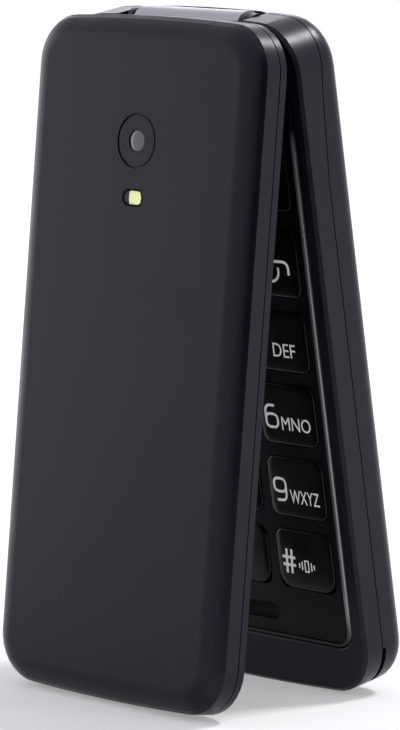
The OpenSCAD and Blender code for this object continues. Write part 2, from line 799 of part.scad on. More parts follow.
module lid_cover() in_lid() color(shell_c) difference() {
    union() {
        difference() {
            intersection() {
                lid_shape();
                span([-big, -big, lid_split_z], [big, big, big]);
            }
            intersection() {
                lid_block(wall_t + lid_draft, 0, crease_z);
                span([-big, -big, -big], [big, big, cover_ceiling]);
            }
            lid_block(lid_draft + shoulder_w / 2 + 0.3, 0, cover_ceiling);
        }
        for (p = lid_screw_pos) post(p[0], p[1], 1.9, lid_split_z, cover_ceiling + 0.3);
    }
    for (p = lid_screw_pos) post(p[0], p[1], hole_r, lid_split_z - 1, cover_ceiling - 1);
    // camera and flash windows
    post(0, -camera_y, camera_r + fit_c, outer_z - 0.75, outer_z + 1);
    post(0, -camera_y, camera_r - 0.9, cover_ceiling - 1, outer_z);
    translate([0, -flash_y, cover_ceiling - 1]) linear_extrude(4)
        round_rect(flash_w + 2 * fit_c, flash_h + 2 * fit_c, flash_h / 2 + fit_c - eps);
}

module lid_bezel() in_lid() color(panel_c) difference() {
    union() {
        intersection() {
            lid_shape();
            span([-big, -big, -big], [big, big, bezel_z]);
        }
        for (s = [0, 1]) mirror([s, 0, 0]) {
            bar(arm_x, arm_x + arm_t, arm_r);
            span([arm_x, -arm_r, 0], [arm_x + arm_t, lid_end - 0.2, inner_z + 0.6]);
        }
    }
    lid_end_chamfer_outside();
    // hollow side of the frame behind the plate
    difference() {
        lid_block(wall_t, inner_z + 1, bezel_z + 1);
        for (p = lid_screw_pos) post(p[0], p[1], 1.9, 0, bezel_z + 1);
        span([-window_hw - 1.2, window_y0 - 1.2, 0], [window_hw + 1.2, window_y1 + 1.2, bezel_z]);
        span([-big, -6, 0], [big, big, big]);
    }
    // seat of the window and the opening for the display
    translate([0, (window_y0 + window_y1) / 2, inner_z - 1])
        linear_extrude(1 + 0.1 + window_t + 0.05)
            round_rect(2 * (window_hw + fit_c), window_y1 - window_y0 + 2 * fit_c, 2);
    translate([0, lcd_y1 - lcd_l / 2, inner_z])
        linear_extrude(3) round_rect(lcd_w - 2, lcd_l - 2, 1);
    // pins, flex channel, earpiece slot, screw holes and bumper seats
    for (s = [0, 1]) mirror([s, 0, 0]) bar(slot_in, pin_end, shaft_r + 0.02);
    span([flex_x - 0.25, -1.1, 0], [flex_x + 0.25, 0.3, bezel_z + 1]);
    translate([0, earpiece_y, inner_z - 1]) linear_extrude(4) round_rect(12, 1.4, 0.69);
    translate([0, earpiece_y, inner_z + 0.45]) linear_extrude(4) round_rect(14.2, 3.2, 1);
    for (p = lid_screw_pos) {
        post(p[0], p[1], hole_r + 0.05, 0, bezel_z + 1);
        post(p[0], p[1], head_r + 0.35, 0, inner_z + 0.9);
    }
}

// Chamfer of the lid's inner hinge edge, kept clear of the two arms
module lid_end_chamfer_outside() difference() {
    lid_end_chamfer();
    for (s = [0, 1]) mirror([s, 0, 0])
        span([arm_x, -big, -big], [arm_x + arm_t, lid_end - 0.2, inner_z + 0.6]);
}

module display_window() in_lid() color("#08080a")
    translate([0, (window_y0 + window_y1) / 2, inner_z + 0.1])
        linear_extrude(window_t) round_rect(2 * window_hw, window_y1 - window_y0, 1.9);

module display_panel() in_lid() color("#1a1d24")
    translate([-lcd_w / 2, lcd_y1 - lcd_l, lcd_z]) cube([lcd_w, lcd_l, lcd_t]);

module lid_frame() in_lid() color(metal_c) difference() {
    span([-window_hw - 0.6, window_y0 + 2, frame_z], [window_hw + 0.6, window_y1 - 1.5, frame_z + frame_t]);
    for (i = [0:3]) post(0, lcd_y0 + 9 + i * 15 * lcd_l / 62, 3, frame_z - 1, frame_z + 1);
}

module lid_board() in_lid() color(board_c) difference() {
    union() {
        span([-body_w / 2 + 6.2, -36, lid_board_z], [body_w / 2 - 6.2, -5, lid_board_z + lid_board_t]);
        span([-8, earpiece_y + 3.5, lid_board_z], [-2, -35.9, lid_board_z + 0.25]);
    }
    span([-4.4, -camera_y - 4.4, 0], [4.4, -camera_y + 4.4, big]);
}

module camera_module() in_lid() color("#202024") {
    span([-4.2, -camera_y - 4.2, lid_board_z - 1.2], [4.2, -camera_y + 4.2, lid_board_z + 1]);
    post(0, -camera_y, 3.1, lid_board_z + 1 - eps, outer_z - 0.9);
}

module camera_window() in_lid() color("#0c0c10") difference() {
    post(0, -camera_y, camera_r, outer_z - 0.7, outer_z - 0.05);
    post(0, -camera_y, 1.7, outer_z - 0.8, outer_z - 0.4);
}

module flash_led() in_lid() color("#f3e58f")
    translate([0, -flash_y, lid_board_z + lid_board_t + 0.02])
        linear_extrude(chip_t) square([2.9, 2.3], center = true);

module flash_lens() in_lid() color("#e9ead8")
    translate([0, -flash_y, lid_board_z + lid_board_t + chip_t + 0.1])
        linear_extrude(outer_z - 0.1 - lid_board_z - lid_board_t - chip_t - 0.1)
            round_rect(flash_w, flash_h, flash_h / 2 - eps);

module earpiece() in_lid() color(metal_c)
    span([-7.5, earpiece_y - 3, bezel_z - 0.1], [7.5, earpiece_y + 3, bezel_z + 2.4]);

module earpiece_mesh() in_lid() color("#4a4a50")
    translate([0, earpiece_y, inner_z + 0.5]) linear_extrude(0.3) round_rect(13.9, 2.9, 0.9);

module magnet() in_lid() color(metal_c)
    span([magnet_x - 2, earpiece_y - 0.5, bezel_z + 0.05], [magnet_x + 2, earpiece_y + 2.5, bezel_z + 1.6]);

module bumpers() in_lid() color("#26262a")
    for (p = lid_screw_pos) post(p[0], p[1], head_r + 0.25, face_z + 0.1, inner_z + 0.2);

module lid_screws() in_lid() color(metal_c)
    for (p = lid_screw_pos) {
        post(p[0], p[1], head_r, inner_z + 0.25, inner_z + 0.85);
        post(p[0], p[1], screw_r, inner_z + 0.8, cover_ceiling - 1.3);
    }

// ---------------------------------------------------------------- drawing

front_housing();
keypad_panel();
rear_housing();
battery_cover();
battery();
main_board();
dome_sheet();
keymat();
shield_can();
microphone();
loudspeaker();
vibration_motor();
usb_connector();
headphone_jack();
sim_socket();
antenna();
volume_rocker();
base_screws();
hinge_sleeve();
flex_base();
key_1();
key_2();
key_3();
key_4();
key_5();
key_6();
key_7();
key_8();
key_9();
key_star();
key_0();
key_hash();
key_call();
key_clear();
key_end();
soft_left();
soft_right();
nav_up();
nav_down();
nav_left();
nav_right();
nav_ok();
lid_cover();
lid_bezel();
display_window();
display_panel();
lid_frame();
lid_board();
camera_module();
camera_window();
flash_led();
flash_lens();
earpiece();
earpiece_mesh();
magnet();
bumpers();
lid_screws();
hinge_shaft();
hinge_bush();
flex_lid();
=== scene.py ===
# %% [markdown]
# # A flip phone, standing half open
#
# The phone stands like a tent on the free ends of its two halves. The solids of
# the CAD model give every size and place. This script dresses them: it softens
# the moulded shells, models the keys, lenses and markings, and gives each
# surface a material made of nodes.

# %% Load the frame
import json
import math
from contextlib import contextmanager

import bmesh
import bpy
from mathutils import Matrix, Vector


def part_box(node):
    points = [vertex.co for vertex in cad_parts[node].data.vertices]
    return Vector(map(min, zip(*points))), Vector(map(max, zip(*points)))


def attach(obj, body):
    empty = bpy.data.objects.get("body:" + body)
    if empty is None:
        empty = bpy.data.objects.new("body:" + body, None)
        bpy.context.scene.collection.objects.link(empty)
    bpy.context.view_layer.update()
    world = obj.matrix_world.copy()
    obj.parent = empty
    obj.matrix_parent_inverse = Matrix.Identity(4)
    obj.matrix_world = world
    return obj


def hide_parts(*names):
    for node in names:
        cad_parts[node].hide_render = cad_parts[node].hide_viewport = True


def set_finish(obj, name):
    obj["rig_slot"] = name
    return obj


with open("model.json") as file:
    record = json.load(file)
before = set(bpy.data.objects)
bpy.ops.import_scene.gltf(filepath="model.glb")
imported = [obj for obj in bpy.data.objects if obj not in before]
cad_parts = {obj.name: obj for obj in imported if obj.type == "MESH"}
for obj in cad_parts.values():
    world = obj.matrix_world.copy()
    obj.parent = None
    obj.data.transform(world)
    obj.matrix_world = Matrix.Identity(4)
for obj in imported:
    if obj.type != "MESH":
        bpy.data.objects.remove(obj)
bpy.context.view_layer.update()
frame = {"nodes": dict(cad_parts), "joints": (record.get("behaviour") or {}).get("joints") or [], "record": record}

nodes = frame["nodes"]
mounts = {mount["name"]: mount for mount in frame["record"]["mounts"]}
joints = {joint["name"]: joint for joint in frame["joints"]}

# %% [markdown]
# ## Two flat drawing boards
#
# Both halves lean, which makes them awkward to model in place. A drawer of such
# a product lays each half flat: X along the hinge, Y from the free end towards
# the hinge, Z out of the keypad. Pieces are modelled flat in millimetres, with
# the hinge axis at the origin, and a matrix then seats them in the phone. The
# record's flat faces say how far each half leans.

# %% Seats of the two halves
MM = 0.001
axis_point = Vector(joints["lid_hinge"]["pos_m"])


def seat_matrix(normal):
    """Matrix from a flat drawing in millimetres to the phone, for a face normal."""
    z = Vector(normal).normalized()
    x = Vector((1, 0, 0))
    y = z.cross(x)
    turn = Matrix((x, y, z)).transposed().to_4x4()
    return Matrix.Translation(axis_point) @ turn @ Matrix.Scale(MM, 4)


SEATS = {
    "lid": seat_matrix(mounts["lid_face"]["axis"]),
    "base": seat_matrix(-Vector(mounts["back_face"]["axis"])),
}
for half, seat in SEATS.items():
    lean = math.degrees(math.atan2(abs(seat.col[2].z), abs(seat.col[2].y)))
    print(f"{half} leans {lean:.2f} degrees")


def flat_box(node, half):
    """Lowest and highest corner of a CAD node on its drawing board, in millimetres."""
    back = SEATS[half].inverted()
    points = [back @ vertex.co for vertex in nodes[node].data.vertices]
    low = Vector([min(point[i] for point in points) for i in range(3)])
    high = Vector([max(point[i] for point in points) for i in range(3)])
    return low, high


# %% [markdown]
# ## Working by hand
#
# Pieces are shaped as a person would at the keyboard: add a primitive, go into
# edit mode, pick a few faces or edges by where they are, and inset, extrude or
# bevel them. An operator acts on all that is selected, so a new primitive starts
# with nothing else selected. These helpers make each of those moves one line.

# %% Helpers for starting a piece
def new_object(name, data):
    """An object around a mesh, curve, lamp or camera."""
    made = bpy.data.objects.new(name, data)
    bpy.context.scene.collection.objects.link(made)
    return made


def only(piece):
    """Make a piece the only selected and active object."""
    bpy.ops.object.select_all(action="DESELECT")
    piece.select_set(True)
    bpy.context.view_layer.objects.active = piece
    return piece


def start(name, add, scale=(1, 1, 1), **how):
    """Add a primitive by itself, name it, stretch it and apply its place."""
    bpy.ops.object.select_all(action="DESELECT")
    add(**how)
    piece = bpy.context.active_object
    piece.name = name
    piece.scale = scale
    bpy.ops.object.transform_apply(location=True, rotation=True, scale=True)
    return piece


def slab(name, low, high):
    """A block between two corners, as the start of a piece."""
    low, high = Vector(low), Vector(high)
    middle = (low + high) / 2
    return start(name, bpy.ops.mesh.primitive_cube_add, high - low, size=1, location=middle)


def disc(name, centre, radius, low, high, corners=64):
    """A round plate between two heights, as the start of a piece."""
    middle = (centre[0], centre[1], (low + high) / 2)
    return start(name, bpy.ops.mesh.primitive_cylinder_add, vertices=corners, radius=radius,
                 depth=high - low, location=middle)


# %% Helpers for picking
TINY = 0.01


@contextmanager
def shaping(piece, kind):
    """Edit mode with nothing selected; kind is VERT, EDGE or FACE."""
    only(piece)
    bpy.ops.object.mode_set(mode="EDIT")
    bpy.ops.mesh.select_mode(type=kind)
    bpy.ops.mesh.select_all(action="DESELECT")
    yield
    bpy.ops.object.mode_set(mode="OBJECT")


def pick_top(piece, above=-math.inf):
    """Select the flat faces that look up, from a height on."""
    bpy.ops.mesh.select_mode(type="FACE")
    bpy.ops.mesh.select_all(action="DESELECT")
    shape = bmesh.from_edit_mesh(piece.data)
    for face in shape.faces:
        if face.normal.z > 0.99 and face.calc_center_median().z > above:
            face.select_set(True)
    bmesh.update_edit_mesh(piece.data)


def pick_edges(piece, test):
    """Select the edges whose middle and direction pass a test."""
    bpy.ops.mesh.select_mode(type="EDGE")
    bpy.ops.mesh.select_all(action="DESELECT")
    shape = bmesh.from_edit_mesh(piece.data)
    for edge in shape.edges:
        a, b = edge.verts
        if test((a.co + b.co) / 2, (b.co - a.co).normalized()):
            edge.select_set(True)
    bmesh.update_edit_mesh(piece.data)


def upright(at, along):
    """Whether an edge stands upright."""
    return abs(along.z) > 0.9


# %% Helpers for shaping
def inset(thickness):
    """Inset the picked faces, level with themselves."""
    bpy.ops.mesh.inset(thickness=thickness, depth=0)


def extrude(height):
    """Extrude the picked faces straight up or down."""
    bpy.ops.mesh.extrude_region_move(TRANSFORM_OT_translate={"value": (0, 0, height)})


def shift(height):
    """Move the picked faces straight up or down."""
    bpy.ops.transform.translate(value=(0, 0, height))


def raise_top(piece, width, height):
    """Inset a piece's top face, then move it up, or down if below zero."""
    with shaping(piece, "FACE"):
        pick_top(piece)
        inset(width)
        shift(height)


def bevel(offset, segments, affect="EDGES"):
    """Round what is picked."""
    bpy.ops.mesh.bevel(offset=offset, segments=segments, affect=affect)


# %% Helpers for finishing a piece
def joined(pieces, name):
    """Several pieces made one."""
    only(pieces[0])
    for piece in pieces:
        piece.select_set(True)
    if len(pieces) > 1:
        bpy.ops.object.join()
    pieces[0].name = name
    return pieces[0]


def repeated(piece, places, name):
    """A piece at several places, each copy with its own mesh, made one."""
    copies = [piece]
    for _ in places[1:]:
        copies.append(new_object(piece.name, piece.data.copy()))
    for each, (x, y) in zip(copies, places):
        each.data.transform(Matrix.Translation((x, y, 0)))
    return joined(copies, name)


def smooth(piece, degrees=30):
    """Smooth shading, except over edges sharper than an angle."""
    only(piece)
    bpy.ops.object.shade_smooth_by_angle(angle=math.radians(degrees))
    return piece


def finish_piece(piece, half, body, slot_name, *stands_for):
    """Seat a flat piece in the phone, tie it to its body and name its finish."""
    if half:
        piece.data.transform(SEATS[half])
    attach(piece, body)
    if slot_name:
        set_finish(piece, slot_name)
    if stands_for:
        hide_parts(*stands_for)
    return piece


# %% [markdown]
# ## Camera
#
# A long lens from well back keeps the edges of the two halves almost parallel.
# It stands low and to the right of the lid, so that the tent opens towards it
# and the keypad shows in the gap. Its place is measured from the hinge axis.

# %% Camera
VIEW_FROM = Vector((532.85, -510.25, 37.45)) * MM
VIEW_YAW = math.radians(46.17)
VIEW_PITCH = math.radians(7.11)
VIEW_ROLL = math.radians(0.40)
FOCAL_LENGTH = 227.99
SENSOR_WIDTH = 36
SEES_TO = 10

camera_data = bpy.data.cameras.new("view")
camera_data.lens = FOCAL_LENGTH
camera_data.sensor_width = SENSOR_WIDTH
camera_data.clip_end = SEES_TO
camera = new_object("view", camera_data)
camera.location = axis_point + VIEW_FROM
camera.rotation_euler = (
    Matrix.Rotation(VIEW_YAW, 3, "Z")
    @ Matrix.Rotation(math.pi / 2 - VIEW_PITCH, 3, "X")
    @ Matrix.Rotation(VIEW_ROLL, 3, "Z")
).to_euler()
bpy.context.scene.camera = camera
print(f"camera {VIEW_FROM.length:.2f} m from the hinge")

# %% [markdown]
# ## Moulded shells
#
# The shells come out of a mould, where no outer edge is knife sharp: each has a
# radius of a tenth of a millimetre or two, which catches the light. Modelling
# the shells again would only repeat the CAD solid, so each is copied, its
# triangles are merged back into whole faces, and a Bevel modifier rounds every
# edge that is sharper than a set angle. Large flat faces would shade unevenly
# between round edges, so Weighted Normal makes them shade flat.

# %% Helpers for shells
SHELL_CREASE = 17
FRAME_CREASE = 50
SHARP_EDGE = 40
MERGE_GAP = 0.002 * MM
FLAT_ANGLE = 0.5


def modify(piece, kind, **settings):
    """Add a modifier to a piece, set it and apply it."""
    only(piece)
    bpy.ops.object.modifier_add(type=kind)
    modifier = piece.modifiers[-1]
    for name, value in settings.items():
        setattr(modifier, name, value)
    bpy.ops.object.modifier_apply(modifier=modifier.name)


def moulded_copy(node, radius, steps=2, crease=SHELL_CREASE):
    """A copy of a CAD node with merged faces and rounded edges."""
    piece = new_object(f"{node}_moulded", nodes[node].data.copy())
    with shaping(piece, "VERT"):
        bpy.ops.mesh.select_all(action="SELECT")
        bpy.ops.mesh.remove_doubles(threshold=MERGE_GAP)
        bpy.ops.mesh.dissolve_limited(angle_limit=math.radians(FLAT_ANGLE))
    modify(piece, "BEVEL", width=radius * MM, segments=steps, limit_method="ANGLE",
           angle_limit=math.radians(SHARP_EDGE), use_clamp_overlap=True)
    smooth(piece, crease)
    modify(piece, "WEIGHTED_NORMAL", keep_sharp=True)
    return piece


# %% Shells with soft edges
SHELLS = {
    "lid_cover": ("lid", "shell", 0.10),
    "lid_bezel": ("lid", "panel", 0.10),
    "front_housing": ("base", "shell", 0.08),
    "battery_cover": ("cover", "shell", 0.10),
    "keypad_panel": ("base", "panel", 0.05),
    "volume_rocker": ("volume_key", "key", 0.25),
    "display_window": ("lid", "window", 0.08),
    "battery": ("battery", "battery", 0.35),
    "shield_can": ("base", "steel", 0.15),
    "sim_socket": ("base", "steel", 0.10),
    "usb_connector": ("base", "steel", 0.08),
    "camera_module": ("lid", "inner_plastic", 0.12),
}
shells = {}
for node, (body, slot_name, radius) in SHELLS.items():
    crease = FRAME_CREASE if node == "front_housing" else SHELL_CREASE
    shells[node] = moulded_copy(node, radius, crease=crease)
    finish_piece(shells[node], None, body, slot_name, node)
    print(node, len(shells[node].data.polygons), "faces")

# %% [markdown]
# ## Key caps
#
# A number key is a hard satin cap with a flange behind the panel that keeps it
# from falling out. Its rim is rounded and its face swells a little, so that a
# thumb finds it. The flange is the primitive; the face is inset and extruded
# from it, the rim is bevelled, and a last inset with a raised middle point
# makes the swelling. The lowest row has rounder corners at the bottom.

# %% Number and call keys
FLANGE = 0.45
FLANGE_T = 0.4
CORNER = 1.6
LOW_CORNER = 2.7
RIM = 0.28
SWELL_EDGE = 0.85
SWELL = 0.02
KEY_CREASE = 35
BOTTOM_ROW = ("key_star", "key_0", "key_hash")
NUMBER_KEYS = [f"key_{digit}" for digit in range(1, 10)] + list(BOTTOM_ROW)
CALL_KEYS = ["key_call", "key_clear", "key_end"]


def key_cap(node):
    """A cap with a flange, rounded corners, a soft rim and a swollen face."""
    low, high = flat_box(node, "base")
    cap = slab(f"{node}_cap", low, (high.x, high.y, low.z + FLANGE_T))
    with shaping(cap, "EDGE"):
        corners_from = low.y - TINY
        if node in BOTTOM_ROW:
            pick_edges(cap, lambda at, along: upright(at, along) and at.y < low.y + TINY)
            bevel(LOW_CORNER + FLANGE, 8)
            corners_from = high.y - TINY
        pick_edges(cap, lambda at, along: upright(at, along) and at.y > corners_from)
        bevel(CORNER + FLANGE, 6)
        pick_top(cap)
        inset(FLANGE)
        extrude(high.z - low.z - FLANGE_T)
        pick_edges(cap, lambda at, along: at.z > high.z - TINY)
        bevel(RIM, 3)
        pick_top(cap, above=high.z - TINY)
        inset(SWELL_EDGE)
        shift(SWELL)
        bpy.ops.mesh.poke(offset=SWELL)
    return smooth(cap, KEY_CREASE)


caps = {}
for node in NUMBER_KEYS + CALL_KEYS:
    caps[node] = key_cap(node)
    finish_piece(caps[node], "base", f"body_{node}", "key", node)
print("caps", len(caps), "faces each", len(caps["key_5"].data.polygons))

# %% [markdown]
# The soft keys and the four parts of the navigation ring have curved sides that
# follow each other, which the CAD solids already hold. They are copied and
# rounded as the shells are.

# %% Soft keys and navigation ring
RING_ROUND = 0.2
RING_KEYS = ["soft_left", "soft_right", "nav_up", "nav_down", "nav_left", "nav_right", "nav_ok"]
for node in RING_KEYS:
    caps[node] = moulded_copy(node, RING_ROUND, steps=3)
    finish_piece(caps[node], None, f"body_{node}", "key", node)
print("ring keys", len(RING_KEYS))

# %% [markdown]
# ## Legends
#
# The legends are printed on the caps: a large digit at the left, and its letter
# group in small capitals on the same line. Blender's built-in font is close to
# the plain letters on such keys. Each text becomes a mesh of a few hundredths
# of a millimetre, sized by its measured height and sunk into the cap so that
# only the print shows. The digits are wider than a font's and drawn with an
# even line, so they and the signs are strokes: a poly curve with a round
# section, pressed flat when it has become a mesh.

# %% Printed letters
PRINT_RISE = 0.015
PRINT_SINK = 0.11
LETTER_HEIGHT = 2.25
BASELINE = -2.6
DIGIT_LEFT = -5.35
DIGIT_SIZE = 0.93
LETTER_LEFT = -1.6


def printed_text(text, height, left, baseline, width=None):
    """Text as a thin flat mesh, with its height, left edge and width given."""
    bpy.ops.object.select_all(action="DESELECT")
    bpy.ops.object.text_add()
    letters = bpy.context.active_object.data
    letters.body = text
    letters.resolution_u = 4
    letters.extrude = 0.5
    bpy.ops.object.convert(target="MESH")
    words = bpy.context.active_object
    with shaping(words, "VERT"):
        bpy.ops.mesh.select_all(action="SELECT")
        bpy.ops.mesh.remove_doubles(threshold=0.0005)
    xs = [vertex.co.x for vertex in words.data.vertices]
    ys = [vertex.co.y for vertex in words.data.vertices]
    scale = height / (max(ys) - min(ys))
    squeeze = width / ((max(xs) - min(xs)) * scale) if width else 1.0
    words.data.transform(
        Matrix.Translation((left, baseline, 0))
        @ Matrix.Diagonal((scale * squeeze, scale, PRINT_RISE + PRINT_SINK, 1))
        @ Matrix.Translation((-min(xs), -min(ys), 0))
    )
    return words


def print_on(node, marks, rise=2 * SWELL):
    """Join flat marks drawn about the origin, and set them into a cap's face."""
    legend = joined(marks, f"{node}_legend")
    low, high = flat_box(node, "base")
    middle = (low + high) / 2
    lift = high.z + rise + (PRINT_RISE - PRINT_SINK) / 2
    legend.data.transform(Matrix.Translation((middle.x, middle.y, lift)))
    legend.data.materials.clear()
    return finish_piece(legend, "base", f"body_{node}", None)


# %% Strokes
STROKE = 0.58
STROKE_T = 0.1


def stroke(points, closed=False, width=STROKE):
    """A line of even width through flat points, as a thin mesh."""
    curve = bpy.data.curves.new("stroke", "CURVE")
    curve.dimensions = "3D"
    curve.bevel_depth = width / 2
    curve.bevel_resolution = 2
    curve.use_fill_caps = True
    line = curve.splines.new("POLY")
    line.points.add(len(points) - 1)
    for point, (x, y) in zip(line.points, points):
        point.co = (x, y, 0, 1)
    line.use_cyclic_u = closed
    only(new_object("stroke", curve))
    bpy.ops.object.convert(target="MESH")
    mark = bpy.context.active_object
    lift = (PRINT_RISE + PRINT_SINK - STROKE_T) / 2
    mark.data.transform(
        Matrix.Translation((0, 0, lift)) @ Matrix.Diagonal((1, 1, STROKE_T / width, 1))
    )
    return mark


def arc(x, y, radius, start, end, count=16):
    """Points along a circle, with angles in degrees."""
    turns = [math.radians(start + (end - start) * i / count) for i in range(count + 1)]
    return [(x + radius * math.cos(turn), y + radius * math.sin(turn)) for turn in turns]


def rounded(corners, closed=False):
    """A path through (x, y, radius) corners, with each corner rounded."""
    path = []
    for i, (x, y, radius) in enumerate(corners):
        at = Vector((x, y))
        if radius == 0 or (not closed and i in (0, len(corners) - 1)):
            path.append((x, y))
            continue
        before = (Vector(corners[i - 1][:2]) - at).normalized() * radius
        after = (Vector(corners[(i + 1) % len(corners)][:2]) - at).normalized() * radius
        for step in range(7):
            share = step / 6
            curved = at + before * (1 - share) ** 2 + after * share ** 2
            path.append((curved.x, curved.y))
    return path


# %% Shapes of the digits
# A digit's width and height are taken between the middles of its strokes.
WIDE = 2.85
TALL = 3.9


def bowl(low_y, high_y, radius):
    """The closed loop of a digit, over the digit's full width."""
    corners = [(0, low_y), (WIDE, low_y), (WIDE, high_y), (0, high_y)]
    return rounded([(x, y, radius) for x, y in corners], True), True


def bend(*corners):
    """An open line with rounded corners."""
    return rounded(corners), False


def straight(*points):
    """An open line with sharp corners."""
    return points, False


# Each digit is a list of lines, with its lower left at the origin.
DIGIT_PATHS = {
    "0": [bowl(0, TALL, 1.4)],
    "1": [straight((0.3, 3.2), (1.4, TALL), (1.4, 0))],
    "2": [bend((0, 3.1, 0), (0, TALL, 0.8), (2.7, TALL, 1.3), (2.7, 2.3, 0.9), (0, 0, 0),
               (WIDE, 0, 0))],
    "3": [bend((0.1, TALL, 0), (2.0, TALL, 1.0), (2.0, 2.1, 0.8), (0.7, 2.1, 0)),
          bend((0.7, 2.1, 0), (2.1, 2.1, 0.9), (2.1, 0, 1.0), (0, 0, 0))],
    "4": [straight((WIDE, 1.1), (0, 1.1), (2.1, TALL), (2.1, 0))],
    "5": [bend((2.7, TALL, 0), (0.3, TALL, 0), (0.1, 2.2, 0), (WIDE, 2.5, 1.2),
               (WIDE, 0, 1.2), (0, 0, 0))],
    "6": [bowl(0, 2.35, 1.1), bend((0, 1.2, 0), (0, TALL, 1.3), (2.3, TALL, 0))],
    "7": [straight((0, TALL), (WIDE, TALL), (1.1, 0))],
    "8": [bowl(2.1, TALL, 0.9), bowl(0, 2.1, 1.0)],
    "9": [bowl(1.55, TALL, 1.1), bend((WIDE, 2.7, 0), (WIDE, 0, 1.3), (0.5, 0, 0))],
    "#": [straight((0.75, -0.1), (1.05, 4.0)), straight((1.85, -0.1), (2.15, 4.0)),
          straight((0, 1.3), (WIDE, 1.3)), straight((0, 2.6), (WIDE, 2.6))],
}


# %% Digits and letters on the keys
def printed_digit(digit):
    """The strokes of a digit, in its place on a cap."""
    marks = [stroke(path, closed) for path, closed in DIGIT_PATHS[digit]]
    size = DIGIT_SIZE if digit in "0123456789" else 1
    for mark in marks:
        mark.data.transform(
            Matrix.Translation((DIGIT_LEFT + STROKE / 2, BASELINE + STROKE / 2, 0))
            @ Matrix.Diagonal((size, size, 1, 1))
        )
    return marks


# A digit's letter group and the width of that group.
LETTERS = {"2": ("ABC", 5.4), "3": ("DEF", 5.0), "4": ("GHI", 4.6), "5": ("JKL", 4.4),
           "6": ("MNO", 6.5), "7": ("PQRS", 6.9), "8": ("TUV", 5.6), "9": ("WXYZ", 6.5)}
legends = {}
for digit in "1234567890":
    marks = printed_digit(digit)
    if digit in LETTERS:
        letters, width = LETTERS[digit]
        marks.append(printed_text(letters, LETTER_HEIGHT, LETTER_LEFT, BASELINE, width))
    legends[f"key_{digit}"] = print_on(f"key_{digit}", marks)
print("printed keys", len(legends))

# %% [markdown]
# The other keys carry signs instead of letters: a handset, an arch over a ring
# for ending a call, arrows, and a small phone between waves for silent ringing.

# %% Signs on the keys
def handset_arch(half, top, foot, corner):
    """A handset seen from the front: a flat arch with two feet."""
    left = arc(-half + corner, top - corner, corner, 180, 90, 6)
    right = arc(half - corner, top - corner, corner, 90, 0, 6)
    return [(-half, foot), *left, *right, (half, foot)]


def silent_marks(x, y):
    """A small phone between short waves: silent ringing."""
    body = [(x - 0.4, y - 0.9), (x + 0.4, y - 0.9), (x + 0.4, y + 0.9), (x - 0.4, y + 0.9)]
    marks = [stroke(body, closed=True, width=0.46)]
    for side in (-1, 1):
        for reach, half in ((1.05, 0.7), (1.65, 0.4)):
            wave = x + side * reach
            marks.append(stroke([(wave, y - half), (wave, y + half)], width=0.36))
    return marks


def arrow(*points):
    """A thin arrow head on the navigation ring."""
    return [stroke(points, width=0.42)]


STAR_AT = Vector((-4.2, -0.6))
STAR_R = 1.35
star_arms = [Vector((math.cos(turn), math.sin(turn))) * STAR_R
             for turn in map(math.radians, (30, 90, 150))]
HANDSET = [(-2.4, 2.1), (-1.3, 2.6), (-0.4, 1.3), (-0.9, 0.7), (0.6, -0.9), (1.5, -0.6),
           (2.7, -1.5), (2.2, -2.5), (0.7, -2.4), (-1.7, -0.5), (-2.7, 1.1)]
SIGNS = {
    "key_hash": printed_digit("#") + silent_marks(0.3, -0.85),
    "key_star": [stroke([STAR_AT - arm, STAR_AT + arm]) for arm in star_arms]
    + [stroke([(-0.9, -1.4), (1.3, -1.4)]), stroke([(0.2, -2.5), (0.2, -0.3)])],
    "key_call": [stroke(HANDSET, closed=True, width=0.54)],
    "key_clear": [stroke(arc(0, 0, 1.9, 48, 312, 22), width=0.6)],
    "key_end": [
        stroke(handset_arch(4.0, 0.4, -1.7, 1.1), width=0.6),
        stroke(arc(0, -1.2, 1.75, -200, 20, 24), width=0.52),
        stroke([(0, 0.0), (0, -1.1)], width=0.52),
    ],
    "soft_left": [stroke([(-1.4, 0), (1.4, 0)])],
    "soft_right": [stroke([(-1.4, 0), (1.4, 0)])],
    "nav_up": arrow((-0.9, -0.4), (0, 0.5), (0.9, -0.4)),
    "nav_down": arrow((-0.9, 0.4), (0, -0.5), (0.9, 0.4)),
    "nav_left": arrow((0.4, -0.9), (-0.5, 0), (0.4, 0.9)),
    "nav_right": arrow((-0.4, -0.9), (0.5, 0), (-0.4, 0.9)),
    "nav_ok": [printed_text("OK", 2.0, -1.7, -1.0)],
}
for node, marks in SIGNS.items():
    legends[node] = print_on(node, marks, 2 * SWELL if node.startswith("key_") else 0)
print("legends", len(legends))

# %% [markdown]
# ## Camera and flash
#
# The camera looks through a round window that is flush with the lid and set off
# by a thin groove. A disc is inset and extruded for the groove, then inset again
# and sunk for the lens well. The lens itself is the cap of a flattened sphere.

# %% Camera window and lens
WINDOW_GROOVE = 0.20
GROOVE_DEPTH = 0.24
WINDOW_RIM = 0.06
LENS_R = 1.72
WELL_WALL = 0.08
WELL_DEPTH = 0.2
LENS_GAP = 0.06
LENS_SINK = 0.02
LENS_BULGE = 0.05

low, high = flat_box("camera_window", "lid")
lens_at = Vector(((low.x + high.x) / 2, (low.y + high.y) / 2, high.z))
window_r = (high.x - low.x) / 2
camera_glass = disc("camera_glass", lens_at, window_r, low.z, high.z - GROOVE_DEPTH)
with shaping(camera_glass, "FACE"):
    pick_top(camera_glass)
    inset(WINDOW_GROOVE)
    extrude(GROOVE_DEPTH - WINDOW_RIM)
    inset(WINDOW_RIM)
    shift(WINDOW_RIM)
    inset(window_r - WINDOW_GROOVE - WINDOW_RIM - LENS_R - WELL_WALL)
    inset(WELL_WALL)
    shift(-WELL_DEPTH)
smooth(camera_glass)
finish_piece(camera_glass, "lid", "lid", "window", "camera_window")

